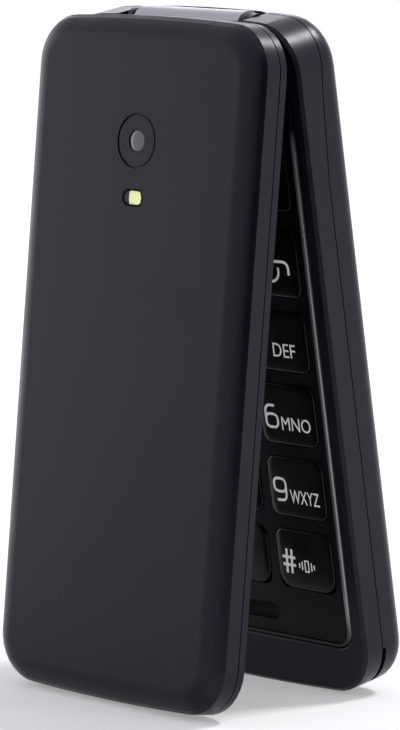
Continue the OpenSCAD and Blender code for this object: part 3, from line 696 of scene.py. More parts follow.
camera_lens = start("camera_lens", bpy.ops.mesh.primitive_uv_sphere_add, segments=48,
                    ring_count=24, radius=LENS_R - LENS_GAP)
with shaping(camera_lens, "FACE"):
    bpy.ops.mesh.select_all(action="SELECT")
    bpy.ops.mesh.bisect(plane_co=(0, 0, TINY), plane_no=(0, 0, 1), clear_inner=True,
                        use_fill=True)
camera_lens.data.transform(
    Matrix.Translation(lens_at - Vector((0, 0, WELL_DEPTH + LENS_SINK)))
    @ Matrix.Diagonal((1, 1, LENS_BULGE, 1))
)
smooth(camera_lens, 60)
finish_piece(camera_lens, "lid", "lid", "window")
print("camera window", round(2 * window_r, 2), "mm across")

# %% [markdown]
# The flash sits in a small pill-shaped cup: a dark rim, a yellow chip on the
# floor and a thick clear lens over it, whose bevelled rim catches the light. A
# slab whose upright edges are bevelled by half its height makes the pill, and
# an inset top face that is pushed down makes the cup.

# %% Flash
CUP_GAP = 0.06
CUP_WALL = 0.3
CUP_FLOOR = 0.3
CUP_PROUD = 0.04
LENS_RIM_WIDTH = 0.2
LENS_RIM_HEIGHT = 0.16
LENS_FOOT = 0.02
CHIP_SINK = 0.04
CHIP_CORNER = 0.7
CHIP_RIM_WIDTH = 0.25
CHIP_RIM_HEIGHT = 0.06


def pill(name, centre, width, height, low_z, high_z):
    """An upright slab with round ends."""
    middle, reach = Vector(centre), Vector((width, height)) / 2
    piece = slab(name, (*(middle - reach), low_z), (*(middle + reach), high_z))
    with shaping(piece, "EDGE"):
        pick_edges(piece, upright)
        bevel(height / 2 - 0.002, 10)
    return piece


low, high = flat_box("flash_lens", "lid")
chip_low, chip_high = flat_box("flash_led", "lid")
flash_at = ((low.x + high.x) / 2, (low.y + high.y) / 2)
flash_w = high.x - low.x + 2 * CUP_GAP
flash_h = high.y - low.y + 2 * CUP_GAP
flash_cup = pill("flash_cup", flash_at, flash_w, flash_h, chip_low.z, high.z + CUP_PROUD)
with shaping(flash_cup, "FACE"):
    pick_top(flash_cup)
    inset(CUP_WALL)
    extrude(chip_low.z + CUP_FLOOR - high.z)
smooth(flash_cup)
finish_piece(flash_cup, "lid", "lid", "panel_dark")

flash_glass = pill("flash_glass", flash_at, flash_w - 2 * CUP_WALL, flash_h - 2 * CUP_WALL,
                   low.z + LENS_FOOT, high.z - LENS_RIM_HEIGHT)
raise_top(flash_glass, LENS_RIM_WIDTH, LENS_RIM_HEIGHT)
smooth(flash_glass, 25)
finish_piece(flash_glass, "lid", "lid", "lens", "flash_lens")

chip_foot = chip_low.z + CUP_FLOOR - CHIP_SINK
flash_chip = slab("flash_chip", (chip_low.x, chip_low.y, chip_foot), chip_high)
with shaping(flash_chip, "EDGE"):
    pick_edges(flash_chip, upright)
    bevel(CHIP_CORNER, 6)
raise_top(flash_chip, CHIP_RIM_WIDTH, CHIP_RIM_HEIGHT)
smooth(flash_chip, 40)
finish_piece(flash_chip, "lid", "lid", "phosphor", "flash_led")
print("flash cup", round(flash_w, 2), "by", round(flash_h, 2), "mm")

# %% [markdown]
# ## Lip of the keypad panel
#
# The keypad panel has a raised lip along its edge. Its outer side slopes, so it
# shows as a thin bright line where it turns towards the light, with the dark
# seam of the frame beside it; its finish adds a painted highlight to that line
# along the middle of the lip. A plane with rounded corners is inset to a ring,
# Solidify gives it height, and its outer edge is bevelled. At the free end the
# lip sinks until it is almost level with the frame.

# %% Keypad lip
LIP_RING = 0.65
LIP_CORNER = 3.4
LIP_SLOPE = 0.32
LIP_TOP = 4.36
LIP_FOOT = 3.75
LIP_FADE = 3.4
LIP_DROP = 0.24

low, high = flat_box("keypad_panel", "base")
half_x, half_y = (high.x - low.x) / 2, (high.y - low.y) / 2
keypad_lip = start("keypad_lip", bpy.ops.mesh.primitive_plane_add, (half_x, half_y, 1), size=2)
with shaping(keypad_lip, "VERT"):
    bpy.ops.mesh.select_all(action="SELECT")
    bevel(LIP_CORNER, 12, "VERTICES")
    bpy.ops.mesh.select_mode(type="FACE")
    bpy.ops.mesh.select_all(action="SELECT")
    inset(LIP_RING)
    bpy.ops.mesh.delete(type="FACE")
modify(keypad_lip, "SOLIDIFY", thickness=LIP_TOP - LIP_FOOT, offset=1)


def outer_top(at, along):
    """Whether an edge lies on the outer rim of the upper side."""
    if at.z < 0.1 or abs(along.z) > 0.5:
        return False
    across, up = abs(at.x) - half_x + LIP_CORNER, abs(at.y) - half_y + LIP_CORNER
    if across > 0 and up > 0:
        return math.hypot(across, up) > LIP_CORNER - 0.2
    return across > LIP_CORNER - 0.1 or up > LIP_CORNER - 0.1


with shaping(keypad_lip, "EDGE"):
    pick_edges(keypad_lip, outer_top)
    bevel(LIP_SLOPE, 2)
for vertex in keypad_lip.data.vertices:
    past = LIP_FADE - half_y - vertex.co.y
    if vertex.co.z > 0.1 and past > 0:
        vertex.co.z -= LIP_DROP * min(1, past / LIP_FADE)
keypad_lip.data.transform(
    Matrix.Translation(((low.x + high.x) / 2, (low.y + high.y) / 2, LIP_FOOT))
)
smooth(keypad_lip, 50)
finish_piece(keypad_lip, "base", "base", "panel")
print("lip", len(keypad_lip.data.polygons), "faces, top at", LIP_TOP)

# %% [markdown]
# ## Small parts
#
# Four rubber pads keep the halves apart when the phone is shut. A pad is a disc
# with a rounded rim; it is modelled once and copied, each copy with its own
# mesh. The USB socket gets the thin tongue that carries its contacts, and the
# battery gets its three contact plates.

# %% Rubber pads
PAD_R = 1.25
PAD_TOP = 4.42
PAD_SINK = 0.2
PAD_RIM = 0.16

low, high = flat_box("bumpers", "lid")
pad = disc("pad", (0, 0), PAD_R, PAD_TOP, high.z + PAD_SINK, corners=32)
with shaping(pad, "EDGE"):
    pick_edges(pad, lambda at, along: at.z < PAD_TOP + TINY)
    bevel(PAD_RIM, 3)
pad_places = [(x, y) for x in (low.x + PAD_R, high.x - PAD_R)
              for y in (low.y + PAD_R, high.y - PAD_R)]
rubber_pads = smooth(repeated(pad, pad_places, "rubber_pads"), 40)
finish_piece(rubber_pads, "lid", "lid", "silicone", "bumpers")
print("pads", len(pad_places))

# %% Microphone slot
SLOT_LENGTH = 13.96
SLOT_HEIGHT = 2.7
SLOT_FROM_END = 12.2
SLOT_LOW = 3.40
SLOT_HIGH = 3.49
SLOT_EDGE = 0.15
SLOT_DISH = 0.03

# A dark pill lies on the floor of the slot: painted shade that makes the recess darker.
free_end = flat_box("front_housing", "base")[0].y
slot_floor = pill("slot_floor", (0, free_end + SLOT_FROM_END), SLOT_LENGTH, SLOT_HEIGHT,
                  SLOT_LOW, SLOT_HIGH)
raise_top(slot_floor, SLOT_EDGE, -SLOT_DISH)
smooth(slot_floor)
finish_piece(slot_floor, "base", "base", "panel_dark")
print("slot", SLOT_LENGTH, "mm long")

# %% USB tongue
TONGUE_LOW = Vector((1.1, 0.9, -0.1))
TONGUE_HIGH = Vector((-1.1, -0.4, 0.45))

low, high = flat_box("usb_connector", "base")
low.z = high.z = (low.z + high.z) / 2
tongue = slab("usb_tongue", low + TONGUE_LOW, high + TONGUE_HIGH)
with shaping(tongue, "EDGE"):
    pick_edges(tongue, lambda at, along: abs(along.x) > 0.9 and at.y < low.y + 1)
    bevel(0.18, 2)
smooth(tongue)
finish_piece(tongue, "base", "base", "inner_plastic")
print("tongue", len(tongue.data.polygons), "faces")

# %% Battery contacts
PLATE_HALF = 0.9
PLATE_MARGIN = 0.7
PLATE_SINK = 0.02
PLATE_PROUD = 0.12
PLATES_AT = (9, 6.1, 11.9)

low, high = flat_box("battery", "base")
plate = slab("plate", (-PLATE_HALF, high.y - PLATE_SINK, low.z + PLATE_MARGIN),
             (PLATE_HALF, high.y + PLATE_PROUD, high.z - PLATE_MARGIN))
with shaping(plate, "EDGE"):
    pick_edges(plate, lambda at, along: abs(along.y) > 0.9)
    bevel(0.35, 3)
contacts = smooth(repeated(plate, [(x, 0) for x in PLATES_AT], "battery_contacts"))
finish_piece(contacts, "base", "battery", "gold")
print("contacts", len(PLATES_AT))

# %% [markdown]
# ## Node tools
#
# Materials are wired in code, and most wiring is the same few moves: add a node,
# set its inputs, and link a socket or a number to each. One helper does that, so
# that a material reads as a short list of what feeds what.

# %% Helpers for wiring
def feed(tree, value, socket):
    """Link a node or its output to an input, or set a number or colour there."""
    if isinstance(value, bpy.types.Node):
        value = value.outputs[0]
    if isinstance(value, bpy.types.NodeSocket):
        tree.links.new(value, socket)
    elif socket.type == "RGBA":
        socket.default_value = (*value, 1)
    else:
        socket.default_value = value


def put(tree, kind, inputs=None, **settings):
    """Add a shader node and feed its inputs."""
    made = tree.nodes.new(f"ShaderNode{kind}")
    for name, value in settings.items():
        setattr(made, name, value)
    for name, value in (inputs or {}).items():
        feed(tree, value, made.inputs[name])
    return made


def calc(tree, operation, *values):
    """A Math node's result."""
    return put(tree, "Math", dict(enumerate(values)), operation=operation).outputs[0]


def product(tree, first, *others):
    """Several values multiplied."""
    for other in others:
        first = calc(tree, "MULTIPLY", first, other)
    return first


def swing(tree, middle, pattern, spread):
    """A value that swings about its middle with a pattern from 0 to 1."""
    away = calc(tree, "SUBTRACT", pattern, 0.5)
    return calc(tree, "ADD", middle, product(tree, away, spread))


def remap(tree, value, old_low, old_high, new_low, new_high):
    """Stretch a value from one range to another, clamped."""
    inputs = {"Value": value, "From Min": old_low, "From Max": old_high,
              "To Min": new_low, "To Max": new_high}
    return put(tree, "MapRange", inputs).outputs[0]


def blend(tree, amount, first, second):
    """Mix two colours."""
    mix = put(tree, "Mix", data_type="RGBA")
    for name, value in (("Factor_Float", amount), ("A_Color", first), ("B_Color", second)):
        feed(tree, value, next(s for s in mix.inputs if s.identifier == name))
    return next(s for s in mix.outputs if s.identifier == "Result_Color")


# %% Helpers for groups and patterns
def group(name, inputs, outputs):
    """An empty shader node group with named number inputs and outputs."""
    tree = bpy.data.node_groups.new(name, "ShaderNodeTree")
    number = {"socket_type": "NodeSocketFloat"}
    for label, default in inputs.items():
        made = tree.interface.new_socket(name=label, in_out="INPUT", **number)
        made.default_value = default
    for label in outputs:
        tree.interface.new_socket(name=label, in_out="OUTPUT", **number)
    return tree, tree.nodes.new("NodeGroupInput").outputs, tree.nodes.new("NodeGroupOutput").inputs


def use(tree, shared, **inputs):
    """Place a shared group in a material, with its own values."""
    made = tree.nodes.new("ShaderNodeGroup")
    made.node_tree = shared
    for name, value in inputs.items():
        feed(tree, value, made.inputs[name.replace("_", " ")])
    return made.outputs


def coordinates(tree):
    """The place on a piece, as X, Y and Z in metres."""
    return put(tree, "TexCoord").outputs["Object"]


def millimetres(tree, size):
    """Object coordinates counted in steps of a size in millimetres."""
    if isinstance(size, bpy.types.NodeSocket):
        steps = calc(tree, "DIVIDE", 1 / MM, size)
    else:
        steps = 1 / MM / size
    inputs = {0: coordinates(tree), "Scale": steps}
    return put(tree, "VectorMath", inputs, operation="SCALE").outputs[0]


def noise(tree, size, detail, **more):
    """Soft noise in patches of a size in millimetres."""
    inputs = {"Vector": millimetres(tree, size), "Scale": 1.0, "Detail": detail, **more}
    return put(tree, "TexNoise", inputs).outputs[0]


# %% [markdown]
# ## Shared effects
#
# Five effects come back in many finishes, so each is a node group with its own
# values in every material. Grain is the fine texture of a mould or a soft paint.
# Handling is the uneven gloss that fingers leave. Worn edges use the Bevel node:
# where its rounded normal leaves the true one, there is an edge. Brushing is a
# grain drawn out along one way. Dust is a scatter of fine pale specks.

# %% Grain
grain, given, result = group("Grain", {"Size": 0.15, "Pits": 0.5}, ["Height", "Speck"])
spot = millimetres(grain, given["Size"])
hills = put(grain, "TexNoise", {"Vector": spot, "Scale": 1.0, "Detail": 3.0, "Roughness": 0.6})
cells = put(grain, "TexVoronoi", {"Vector": spot, "Scale": 1.3}, feature="SMOOTH_F1")
pits = product(grain, cells.outputs["Distance"], given["Pits"])
feed(grain, calc(grain, "SUBTRACT", hills, pits), result["Height"])
feed(grain, remap(grain, hills, 0.35, 0.65, 0, 1), result["Speck"])

# %% Handling
WIPE_SHARE = 0.35

handling, given, result = group(
    "Handling", {"Roughness": 0.4, "Spread": 0.1}, ["Roughness", "Smudge"]
)
clouds = noise(handling, 11.0, 4.0)
wipes = noise(handling, 2.6, 2.0, Distortion=1.2)
prints = calc(handling, "ADD", clouds, product(handling, wipes, WIPE_SHARE))
smudge = remap(handling, prints, 0.5, 0.85, 0, 1)
feed(handling, swing(handling, given["Roughness"], smudge, given["Spread"]), result["Roughness"])
feed(handling, smudge, result["Smudge"])

# %% Worn edges
worn, given, result = group("Worn edges", {"Radius mm": 0.25, "Strength": 1.0}, ["Wear"])
radius = product(worn, given["Radius mm"], MM)
soft_normal = put(worn, "Bevel", {"Radius": radius}, samples=4)
true_normal = put(worn, "NewGeometry").outputs["Normal"]
agree = put(worn, "VectorMath", {0: soft_normal, 1: true_normal}, operation="DOT_PRODUCT")
edge = remap(worn, agree.outputs["Value"], 1.0, 0.93, 0, 1)
torn = remap(worn, noise(worn, 1.9, 3.0), 0.42, 0.62, 0.25, 1)
feed(worn, product(worn, edge, torn, given["Strength"]), result["Wear"])

# %% Brushing
DRAWN_OUT = (0.02, 1.0, 1.0)
BRUSH_SPREAD = 0.3

brushing, given, result = group(
    "Brushing", {"Size": 0.08, "Roughness": 0.3}, ["Height", "Roughness"]
)
drawn = put(brushing, "VectorMath", {0: millimetres(brushing, given["Size"]), 1: DRAWN_OUT},
            operation="MULTIPLY")
lines = put(brushing, "TexNoise", {"Vector": drawn, "Scale": 1.0, "Detail": 3.0})
feed(brushing, lines, result["Height"])
feed(brushing, swing(brushing, given["Roughness"], lines, BRUSH_SPREAD), result["Roughness"])

# %% Dust
MOTE_R = 0.09
MOTE_SHARE = 0.85

dust, given, result = group("Dust", {"Amount": 0.1}, ["Dust"])
motes = put(dust, "TexVoronoi", {"Vector": millimetres(dust, 1.4), "Scale": 1.0})
kind = put(dust, "SeparateColor", {0: motes.outputs["Color"]}).outputs[0]
small = calc(dust, "LESS_THAN", motes.outputs["Distance"], product(dust, kind, MOTE_R))
few = calc(dust, "GREATER_THAN", kind, MOTE_SHARE)
feed(dust, product(dust, small, few, given["Amount"]), result["Dust"])
print("groups", [tree.name for tree in bpy.data.node_groups])

# %% [markdown]
# ## Finishes
#
# Each finish is one Principled material. What is the same all over, such as the
# specular level or a coat, is set on the shader's own sockets. What changes over
# the surface comes from the groups: colour, roughness and a bump.

# %% A material and what feeds it
def finish(name, **sockets):
    """A Principled material; sockets are named as on the shader, with _ for a space."""
    material = bpy.data.materials.new(name)
    material.use_nodes = True
    tree = material.node_tree
    shader = tree.nodes["Principled BSDF"].inputs
    for socket, value in sockets.items():
        feed(tree, value, shader[socket.replace("_", " ")])
    return material, tree, shader


def colour(tree, shader, amount, first, second):
    """Let the surface go from one colour to another, and give the mix back."""
    mixed = blend(tree, amount, first, second)
    feed(tree, mixed, shader["Base Color"])
    return mixed


def gloss(tree, shader, roughness, spread):
    """Roughness with the marks of fingers in it; gives the smudges back."""
    touched = use(tree, handling, Roughness=roughness, Spread=spread)
    feed(tree, touched["Roughness"], shader["Roughness"])
    return touched["Smudge"]


def emboss(tree, shader, height, depth_mm):
    """Feed a height in millimetres to the shader's normal."""
    bump = put(tree, "Bump", {"Height": height, "Distance": depth_mm * MM, "Strength": 1.0})
    feed(tree, bump, shader["Normal"])


def texture(tree, shader, size_mm, depth_mm):
    """A fine grain on the surface; gives its specks back."""
    surface = use(tree, grain, Size=size_mm)
    emboss(tree, shader, surface["Height"], depth_mm)
    return surface["Speck"]


FINISHES = {}

# %% [markdown]
# The shells wear a soft-touch paint: a very dark grey with a little violet, dull
# and even, that looks slightly lighter where it has been rubbed at the edges.

# %% Soft-touch paint
SPECK_SHARE = 0.25
RUBBED_GAIN = 2.6
DUST_AMOUNT = 0.12
DUST_TONE = (0.25, 0.25, 0.26)


def plastic_finish(name, base, lighter, roughness, spread, grain_mm, depth_mm, wear, **sockets):
    """A moulded or painted plastic with grain, handling, dust and worn edges."""
    material, tree, shader = finish(name, **sockets)
    gloss(tree, shader, roughness, spread)
    speck = product(tree, texture(tree, shader, grain_mm, depth_mm), SPECK_SHARE)
    varied = blend(tree, speck, base, lighter)
    bare = tuple(min(1, value * RUBBED_GAIN) for value in lighter)
    rubbed = blend(tree, use(tree, worn, Strength=wear)["Wear"], varied, bare)
    colour(tree, shader, use(tree, dust, Amount=DUST_AMOUNT)["Dust"], rubbed, DUST_TONE)
    return material


FINISHES["shell"] = plastic_finish(
    "soft touch paint", (0.0040, 0.0042, 0.0088), (0.0060, 0.0062, 0.0112),
    0.33, 0.08, 0.16, 0.003, 0.5, Specular_IOR_Level=0.243, Specular_Tint=(0.85, 0.855, 1),
    Sheen_Weight=0.05, Sheen_Roughness=0.3,
)
FINISHES["panel"] = plastic_finish(
    "satin frame plastic", (0.0030, 0.0030, 0.0048), (0.0042, 0.0042, 0.0064),
    0.29, 0.10, 0.22, 0.002, 0.35, Specular_IOR_Level=0.13,
)
FINISHES["inner_plastic"] = plastic_finish(
    "inner nylon", (0.022, 0.022, 0.024), (0.032, 0.032, 0.035),
    0.55, 0.10, 0.30, 0.012, 0.5, Specular_IOR_Level=0.4,
)
FINISHES["key"] = plastic_finish(
    "key cap plastic", (0.0035, 0.0035, 0.0042), (0.005, 0.005, 0.006),
    0.24, 0.10, 0.25, 0.001, 0.25, Specular_IOR_Level=0.2, Coat_Weight=0.06, Coat_Roughness=0.12,
)
FINISHES["silicone"] = plastic_finish(
    "silicone rubber", (0.035, 0.035, 0.038), (0.05, 0.05, 0.053),
    0.6, 0.08, 0.12, 0.004, 0.0, Specular_IOR_Level=0.35,
    Sheen_Weight=0.1, Sheen_Roughness=0.5,
)
# Dark plastic of the flash rim; on the slot's floor the same material is painted shade.
FINISHES["panel_dark"] = plastic_finish(
    "dark rim plastic", (0.003, 0.003, 0.0035), (0.005, 0.005, 0.0055),
    0.5, 0.10, 0.20, 0.002, 0.0, Specular_IOR_Level=0.05,
)
# The barrel's light metallic grey is a painted highlight: the same frame plastic, lighter where it catches the
# light from above.
BARREL_HIGHLIGHT = plastic_finish(
    "satin barrel paint", (0.37, 0.362, 0.39), (0.40, 0.392, 0.42),
    0.36, 0.08, 0.16, 0.002, 0.1, Metallic=0.95,
)
print("plastics", len(FINISHES) + 1)

# %% [markdown]
# The lip around the keypad carries a painted highlight: along its middle it is a
# lighter grey with a metallic look, which fades to plain dark plastic towards
# both ends, where the line of light it stands for fades as well.

# %% Trim with a painted highlight
FOOT_FADE = (8.5 * MM, 14 * MM, 0.0, 1.0)
HEAD_FADE = (87 * MM, 92 * MM, 1.0, 0.0)

TRIM_WITH_PAINTED_HIGHLIGHT, tree, shader = finish("smoked trim", Specular_IOR_Level=0.3)
up = put(tree, "SeparateXYZ", {0: coordinates(tree)}).outputs["Z"]
# This mask is the painted highlight: full along the middle of the lip, none at its ends.
painted_shine = product(tree, remap(tree, up, *FOOT_FADE), remap(tree, up, *HEAD_FADE))
highlight_grey = blend(tree, texture(tree, shader, 0.2, 0.001), (0.245, 0.245, 0.26), (0.30, 0.30, 0.315))
colour(tree, shader, painted_shine, (0.004, 0.004, 0.0055), highlight_grey)
feed(tree, product(tree, painted_shine, 0.6), shader["Metallic"])
gloss(tree, shader, 0.25, 0.08)
print("trim fades from", HEAD_FADE[0] / MM, "mm up and from", FOOT_FADE[1] / MM, "mm down")

# %% [markdown]
# Legends are a pale grey ink. Ink on a key is never perfectly even: it thins in
# small patches where the pad that printed it lifted, and rubs off a little. The
# ink's colour also feeds a faint glow, a painted light that keeps the legends
# pale in the shade between the two halves.

# %% Legend ink
# The emission in the ink's colour is painted light, not a property of the ink.
GLOWING_LEGEND_INK, tree, shader = finish("legend ink", Specular_IOR_Level=0.3, Emission_Strength=0.24)
thin = remap(tree, noise(tree, 0.7, 4.0), 0.35, 0.6, 0.35, 0)
ink = colour(tree, shader, thin, (0.84, 0.84, 0.85), (0.60, 0.60, 0.61))
feed(tree, ink, shader["Emission Color"])
speck = texture(tree, shader, 0.12, 0.002)
feed(tree, remap(tree, speck, 0, 1, 0.38, 0.52), shader["Roughness"])
print("ink nodes", len(tree.nodes))

# %% [markdown]
# The display window is a sheet of acrylic, black from behind except where the
# display looks through. With the display off that field is only a shade greyer,
# with the faint lines of its pixels.

# %% Display window
FIELD_HALF = 19.5 * MM
FIELD_MARGIN = 6.5 * MM

FINISHES["window"], tree, shader = finish(
    "window acrylic", IOR=1.49, Coat_Weight=0.3, Coat_Roughness=0.03
)
low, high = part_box("display_window")
place = put(tree, "SeparateXYZ", {0: coordinates(tree)}).outputs
side = calc(tree, "LESS_THAN", calc(tree, "ABSOLUTE", place["X"]), FIELD_HALF)
above = calc(tree, "GREATER_THAN", place["Z"], low[2] + FIELD_MARGIN)
below = calc(tree, "LESS_THAN", place["Z"], high[2] - FIELD_MARGIN)
field = product(tree, side, above, below)
rows = put(tree, "TexWave", {"Vector": millimetres(tree, 1.0), "Scale": 2.0},
           bands_direction="Z").outputs["Fac"]
screen = blend(tree, product(tree, rows, 0.5), (0.010, 0.011, 0.013), (0.013, 0.014, 0.017))
colour(tree, shader, field, (0.003, 0.003, 0.004), screen)
gloss(tree, shader, 0.07, 0.05)
print("display field", round(2 * FIELD_HALF / MM), "mm wide")

# %% [markdown]
# The camera's window is smoked acrylic. The lens behind it has a coating, and
# its colour is lighter where it turns away: a painted sheen. The flash has a
# plain clear lens.

# %% Camera window and lenses
CAMERA_WINDOW, tree, shader = finish("camera window", IOR=1.5, Specular_IOR_Level=0.25)
smudge = gloss(tree, shader, 0.22, 0.06)
colour(tree, shader, smudge, (0.006, 0.006, 0.012), (0.010, 0.010, 0.016))

CAMERA_LENS, tree, shader = finish(
    "coated camera lens", IOR=1.6, Coat_Weight=0.6, Coat_Roughness=0.05
)
# The lens colour goes lighter where it turns away from the view: a painted sheen.
face = put(tree, "LayerWeight", {"Blend": 0.35}).outputs["Facing"]
painted_sheen = blend(tree, face, (0.055, 0.055, 0.072), (0.09, 0.09, 0.11))
colour(tree, shader, gloss(tree, shader, 0.1, 0.05), painted_sheen, (0.065, 0.065, 0.08))

FINISHES["lens"], tree, shader = finish("flash lens", IOR=1.49, Transmission_Weight=1.0)
smudge = gloss(tree, shader, 0.05, 0.04)
colour(tree, shader, smudge, (0.97, 0.97, 0.95), (0.90, 0.90, 0.88))
print("windows", CAMERA_WINDOW.name, CAMERA_LENS.name, FINISHES["lens"].name)

# %% [markdown]
# The flash chip is coated with a yellow phosphor in clear resin, a granular
# powder. The powder's colour also feeds a faint glow, a painted light that
# keeps the chip bright at the bottom of its shaded cup.

# %% Phosphor
# The emission here is painted light: the switched-off chip gives no light of its own.
FINISHES["phosphor"], tree, shader = finish(
    "flash phosphor", Roughness=0.5, Emission_Strength=0.58
)
speck = texture(tree, shader, 0.2, 0.02)
glowing_powder = colour(tree, shader, speck, (0.84, 0.90, 0.33), (0.97, 0.99, 0.62))
feed(tree, glowing_powder, shader["Emission Color"])
print("phosphor nodes", len(tree.nodes))

# %% [markdown]
# Metal parts are stamped steel with a brushed grain. The flex cables are amber
# film over copper tracks, and the board is dark green lacquer over copper. The
# battery's wrap is a printed film that creases a little over the cell.

# %% Stamped steel
FINISHES["steel"], tree, shader = finish("stamped steel", Metallic=1.0)
drawn = use(tree, brushing, Size=0.07, Roughness=0.30)
smudge = use(tree, handling)["Smudge"]
colour(tree, shader, smudge, (0.56, 0.565, 0.58), (0.44, 0.445, 0.46))
feed(tree, drawn["Roughness"], shader["Roughness"])
emboss(tree, shader, drawn["Height"], 0.004)
print("steel nodes", len(tree.nodes))

# %% Flex film and board
FINISHES["gold"], tree, shader = finish("flex film and contacts", Specular_IOR_Level=0.6)
tracks = put(tree, "TexWave", {"Vector": millimetres(tree, 1.0), "Scale": 0.75},
             bands_direction="X").outputs["Fac"]
copper = remap(tree, tracks, 0.45, 0.6, 0, 1)
colour(tree, shader, copper, (0.33, 0.17, 0.035), (0.62, 0.40, 0.13))
feed(tree, remap(tree, copper, 0, 1, 0, 0.85), shader["Metallic"])
gloss(tree, shader, 0.32, 0.12)
emboss(tree, shader, copper, 0.01)

FINISHES["board"], tree, shader = finish("board lacquer", Specular_IOR_Level=0.55)
paths = put(tree, "TexBrick", {
    "Vector": millimetres(tree, 1.0), "Scale": 0.55, "Mortar Size": 0.03, "Brick Width": 1.7,
    "Row Height": 0.6,
}).outputs["Fac"]
dots = put(tree, "TexVoronoi", {"Vector": millimetres(tree, 2.2), "Scale": 1.0})
solder = remap(tree, dots.outputs["Distance"], 0.16, 0.12, 0, 1)
lacquer = blend(tree, paths, (0.012, 0.075, 0.032), (0.03, 0.14, 0.06))
colour(tree, shader, solder, lacquer, (0.62, 0.46, 0.2))
feed(tree, remap(tree, solder, 0, 1, 0, 0.9), shader["Metallic"])
gloss(tree, shader, 0.30, 0.1)
emboss(tree, shader, paths, 0.02)
print("film and board done")

# %% Battery wrap
FINISHES["battery"], tree, shader = finish(
    "battery wrap", Coat_Weight=0.3, Coat_Roughness=0.2
)
smudge = gloss(tree, shader, 0.36, 0.1)
colour(tree, shader, smudge, (0.045, 0.055, 0.085), (0.06, 0.07, 0.105))
emboss(tree, shader, noise(tree, 6.0, 2.0, Distortion=0.8), 0.06)
print("finishes", len(FINISHES))

# %% [markdown]
# ## Dressing
#
# The record says which finish each solid takes. Every piece gets the material of
# its slot, and a few pieces take a special one.

# %% Every piece gets its finish
node_slots = {row["node"]: row["material_slot"] for row in frame["record"]["subparts"]}
SPECIAL = {
    "camera_glass": CAMERA_WINDOW, "camera_lens": CAMERA_LENS, "keypad_lip": TRIM_WITH_PAINTED_HIGHLIGHT,
    "lid_bezel_moulded": FINISHES["shell"],
}
SPECIAL.update({legend.name: GLOWING_LEGEND_INK for legend in legends.values()})


def dress(piece, material):
    """Put one material on all of a piece."""
    if not piece.material_slots:
        piece.data.materials.append(None)
    for material_slot in piece.material_slots:
        material_slot.material = material


for name, solid in nodes.items():
    dress(solid, FINISHES[node_slots[name]])
new_pieces = [
    piece for piece in bpy.data.objects
    if piece.type == "MESH" and piece not in nodes.values()
    and ("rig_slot" in piece or piece.name in SPECIAL)
]
for piece in new_pieces:
    dress(piece, SPECIAL.get(piece.name) or FINISHES[piece["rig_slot"]])
print("dressed", len(nodes), "solids and", len(new_pieces), "new pieces")

# %% [markdown]
# The hinge barrel is the same plastic as the frame, but it catches the light
# from above and looks lighter. That light is painted: the barrel is part of the
# front housing, so only the faces close to the hinge axis, between the lid's
# two arms, get a light metallic grey as a painted highlight.

# %% Barrel's painted highlight
BARREL_REACH = 2.9 * MM
BARREL_HALF = 11.95 * MM
housing = shells["front_housing"]
housing.data.materials.append(BARREL_HIGHLIGHT)
painted = 0
for face in housing.data.polygons:
    away = (face.center - axis_point).yz
    if away.length < BARREL_REACH and abs(face.center.x) < BARREL_HALF:
        face.material_index = len(housing.data.materials) - 1
        painted += 1
print("barrel faces", painted)

# %% [markdown]
# ## Studio
#
# A white floor and an even white sky make the plain setting, where reflections
# see a faintly violet sky. Soft lamps are placed by what they reflect in: the
# back one gives the glints on the upper corners, the far one the light upper
# edges, the left one the lighter left side of the lid, and the strip a soft
# line on the side walls. The floor's own shade carries the shadow; a little
# light added for the camera and for reflections brings its open part to white.

# %% Floor
FLOOR_HALF = 3.0
NEAR, FAR = 0.15, 0.8
NEAR_LIFT, FAR_LIFT = 0.30, 0.62


def bare_nodes(owner):
    """The emptied node tree of a material or world."""
    owner.use_nodes = True
    owner.node_tree.nodes.clear()
    return owner.node_tree


def shown(tree, ray):
    """One for what the camera, gloss and glass see, and nothing for other light."""
    mirrored = calc(tree, "MAXIMUM", ray["Is Glossy Ray"], ray["Is Transmission Ray"])
    return calc(tree, "MAXIMUM", ray["Is Camera Ray"], mirrored)


floor = start("floor", bpy.ops.mesh.primitive_plane_add, size=2 * FLOOR_HALF)
floor_paper = bpy.data.materials.new("floor paper")
tree = bare_nodes(floor_paper)
away = put(tree, "VectorMath", {0: coordinates(tree)}, operation="LENGTH").outputs["Value"]
lift = remap(tree, away, NEAR, FAR, NEAR_LIFT, FAR_LIFT)
strength = product(tree, shown(tree, put(tree, "LightPath").outputs), lift)
glow = put(tree, "Emission", {"Color": (1, 1, 1), "Strength": strength})
paper = put(tree, "BsdfDiffuse", {"Color": (0.72, 0.725, 0.748)})
both = put(tree, "AddShader", {0: paper, 1: glow})
put(tree, "OutputMaterial", {"Surface": both})
floor.data.materials.append(floor_paper)
print("floor", 2 * FLOOR_HALF, "m wide")

# %% Sky
SKY_LIGHT = 0.55

bpy.context.scene.view_settings.view_transform = "Standard"
world = bpy.data.worlds.new("studio")
bpy.context.scene.world = world
tree = bare_nodes(world)
ray = put(tree, "LightPath").outputs
even = put(tree, "Background", {"Color": (0.93, 0.96, 1.0), "Strength": SKY_LIGHT})
white = put(tree, "Background", {"Color": (1, 1, 1), "Strength": 1.0})
tinted = put(tree, "Background", {"Color": (0.95, 0.92, 1.0), "Strength": 1.0})
sky = put(tree, "MixShader", {0: shown(tree, ray), 1: even, 2: white})
sky = put(tree, "MixShader", {0: ray["Is Glossy Ray"], 1: sky, 2: tinted})
put(tree, "OutputWorld", {"Surface": sky})
print("sky light", SKY_LIGHT)

# %% Soft lamps
AIM = (0, 0, 0.08)
LOW_AIM = (-0.03, 0, 0.05)
WARM = (1, 0.98, 0.96)
COOL = (0.97, 0.95, 1)


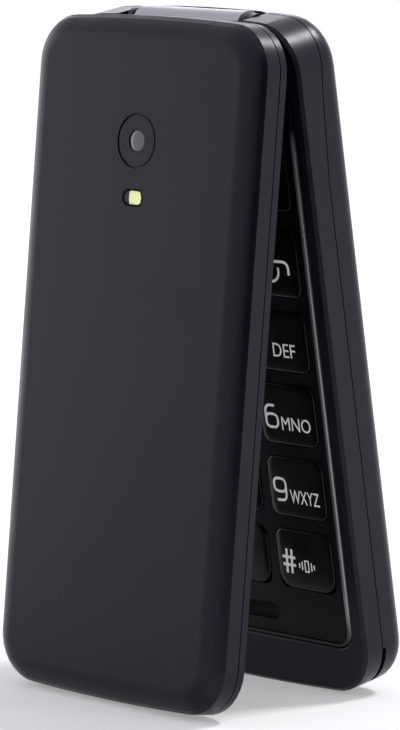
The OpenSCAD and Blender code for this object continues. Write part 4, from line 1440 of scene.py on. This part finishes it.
def soft_lamp(name, place, aim, width, height, power, tint=(1, 1, 1)):
    """A rectangular lamp that points at a place; distances in metres."""
    data = bpy.data.lights.new(name, "AREA")
    data.shape = "RECTANGLE"
    data.size, data.size_y = width, height
    data.energy = power
    data.color = tint
    lamp = new_object(name, data)
    lamp.location = place
    lamp.rotation_euler = (Vector(aim) - Vector(place)).to_track_quat("-Z", "Y").to_euler()
    lamp.visible_camera = False
    print(name, power, "W")


soft_lamp("back softbox", (0.19, 0.523, 0.76), AIM, 0.20, 0.14, 5.2, WARM)
soft_lamp("left softbox", (-0.268, -0.079, 0.085), LOW_AIM, 0.25, 0.20, 0.16)
soft_lamp("far softbox", (-0.60, 0.47, 0.42), AIM, 0.42, 0.26, 0.65, COOL)
soft_lamp("strip softbox", (0.58, 0.20, 0.16), AIM, 0.07, 0.50, 0.6, WARM)

# %% [markdown]
# Black and glossy things are shaped by what they reflect. Behind the camera
# stands a large dark card, which a photographer calls a flag: edges that turn
# towards the camera mirror it and go deep black. A dark cloth lies before it on
# the floor. Neither ever shows itself.

# %% Flag and cloth
FLAG_AT = 0.95
FLAG_SIZE = (1.15, 1.0)
FLAG_TURN = 18
CLOTH_FROM = 0.22
CLOTH_WIDTH = 0.6
CLOTH_LIFT = 0.001

turn = Matrix.Rotation(math.radians(FLAG_TURN), 3, "Z")
flag_way = (turn @ Vector((VIEW_FROM.x, VIEW_FROM.y, 0))).normalized()
flag_cloth, _, _ = finish("flag cloth", Base_Color=(0.01, 0.01, 0.01), Specular_IOR_Level=0)


def dark_card(name, width, height, place, facing):
    """A black card that only reflections can see."""
    card = start(name, bpy.ops.mesh.primitive_plane_add, (width, height, 1), size=1,
                 location=place, rotation=facing.to_track_quat("Z", "Y").to_euler())
    card.visible_camera = False
    card.visible_shadow = False
    card.visible_diffuse = False
    card.data.materials.append(flag_cloth)
    return card


up = Vector((0, 0, 1))
dark_card("flag", *FLAG_SIZE, flag_way * FLAG_AT + up * FLAG_SIZE[1] / 2, -flag_way)
cloth = dark_card("cloth", CLOTH_WIDTH, FLAG_AT - CLOTH_FROM, Vector((0, 0, 0)), up)
cloth.data.transform(
    Matrix.Translation(flag_way * (FLAG_AT + CLOTH_FROM) / 2 + up * CLOTH_LIFT)
    @ Matrix.Rotation(math.atan2(flag_way.y, flag_way.x) - math.pi / 2, 4, "Z")
)
print("studio ready")
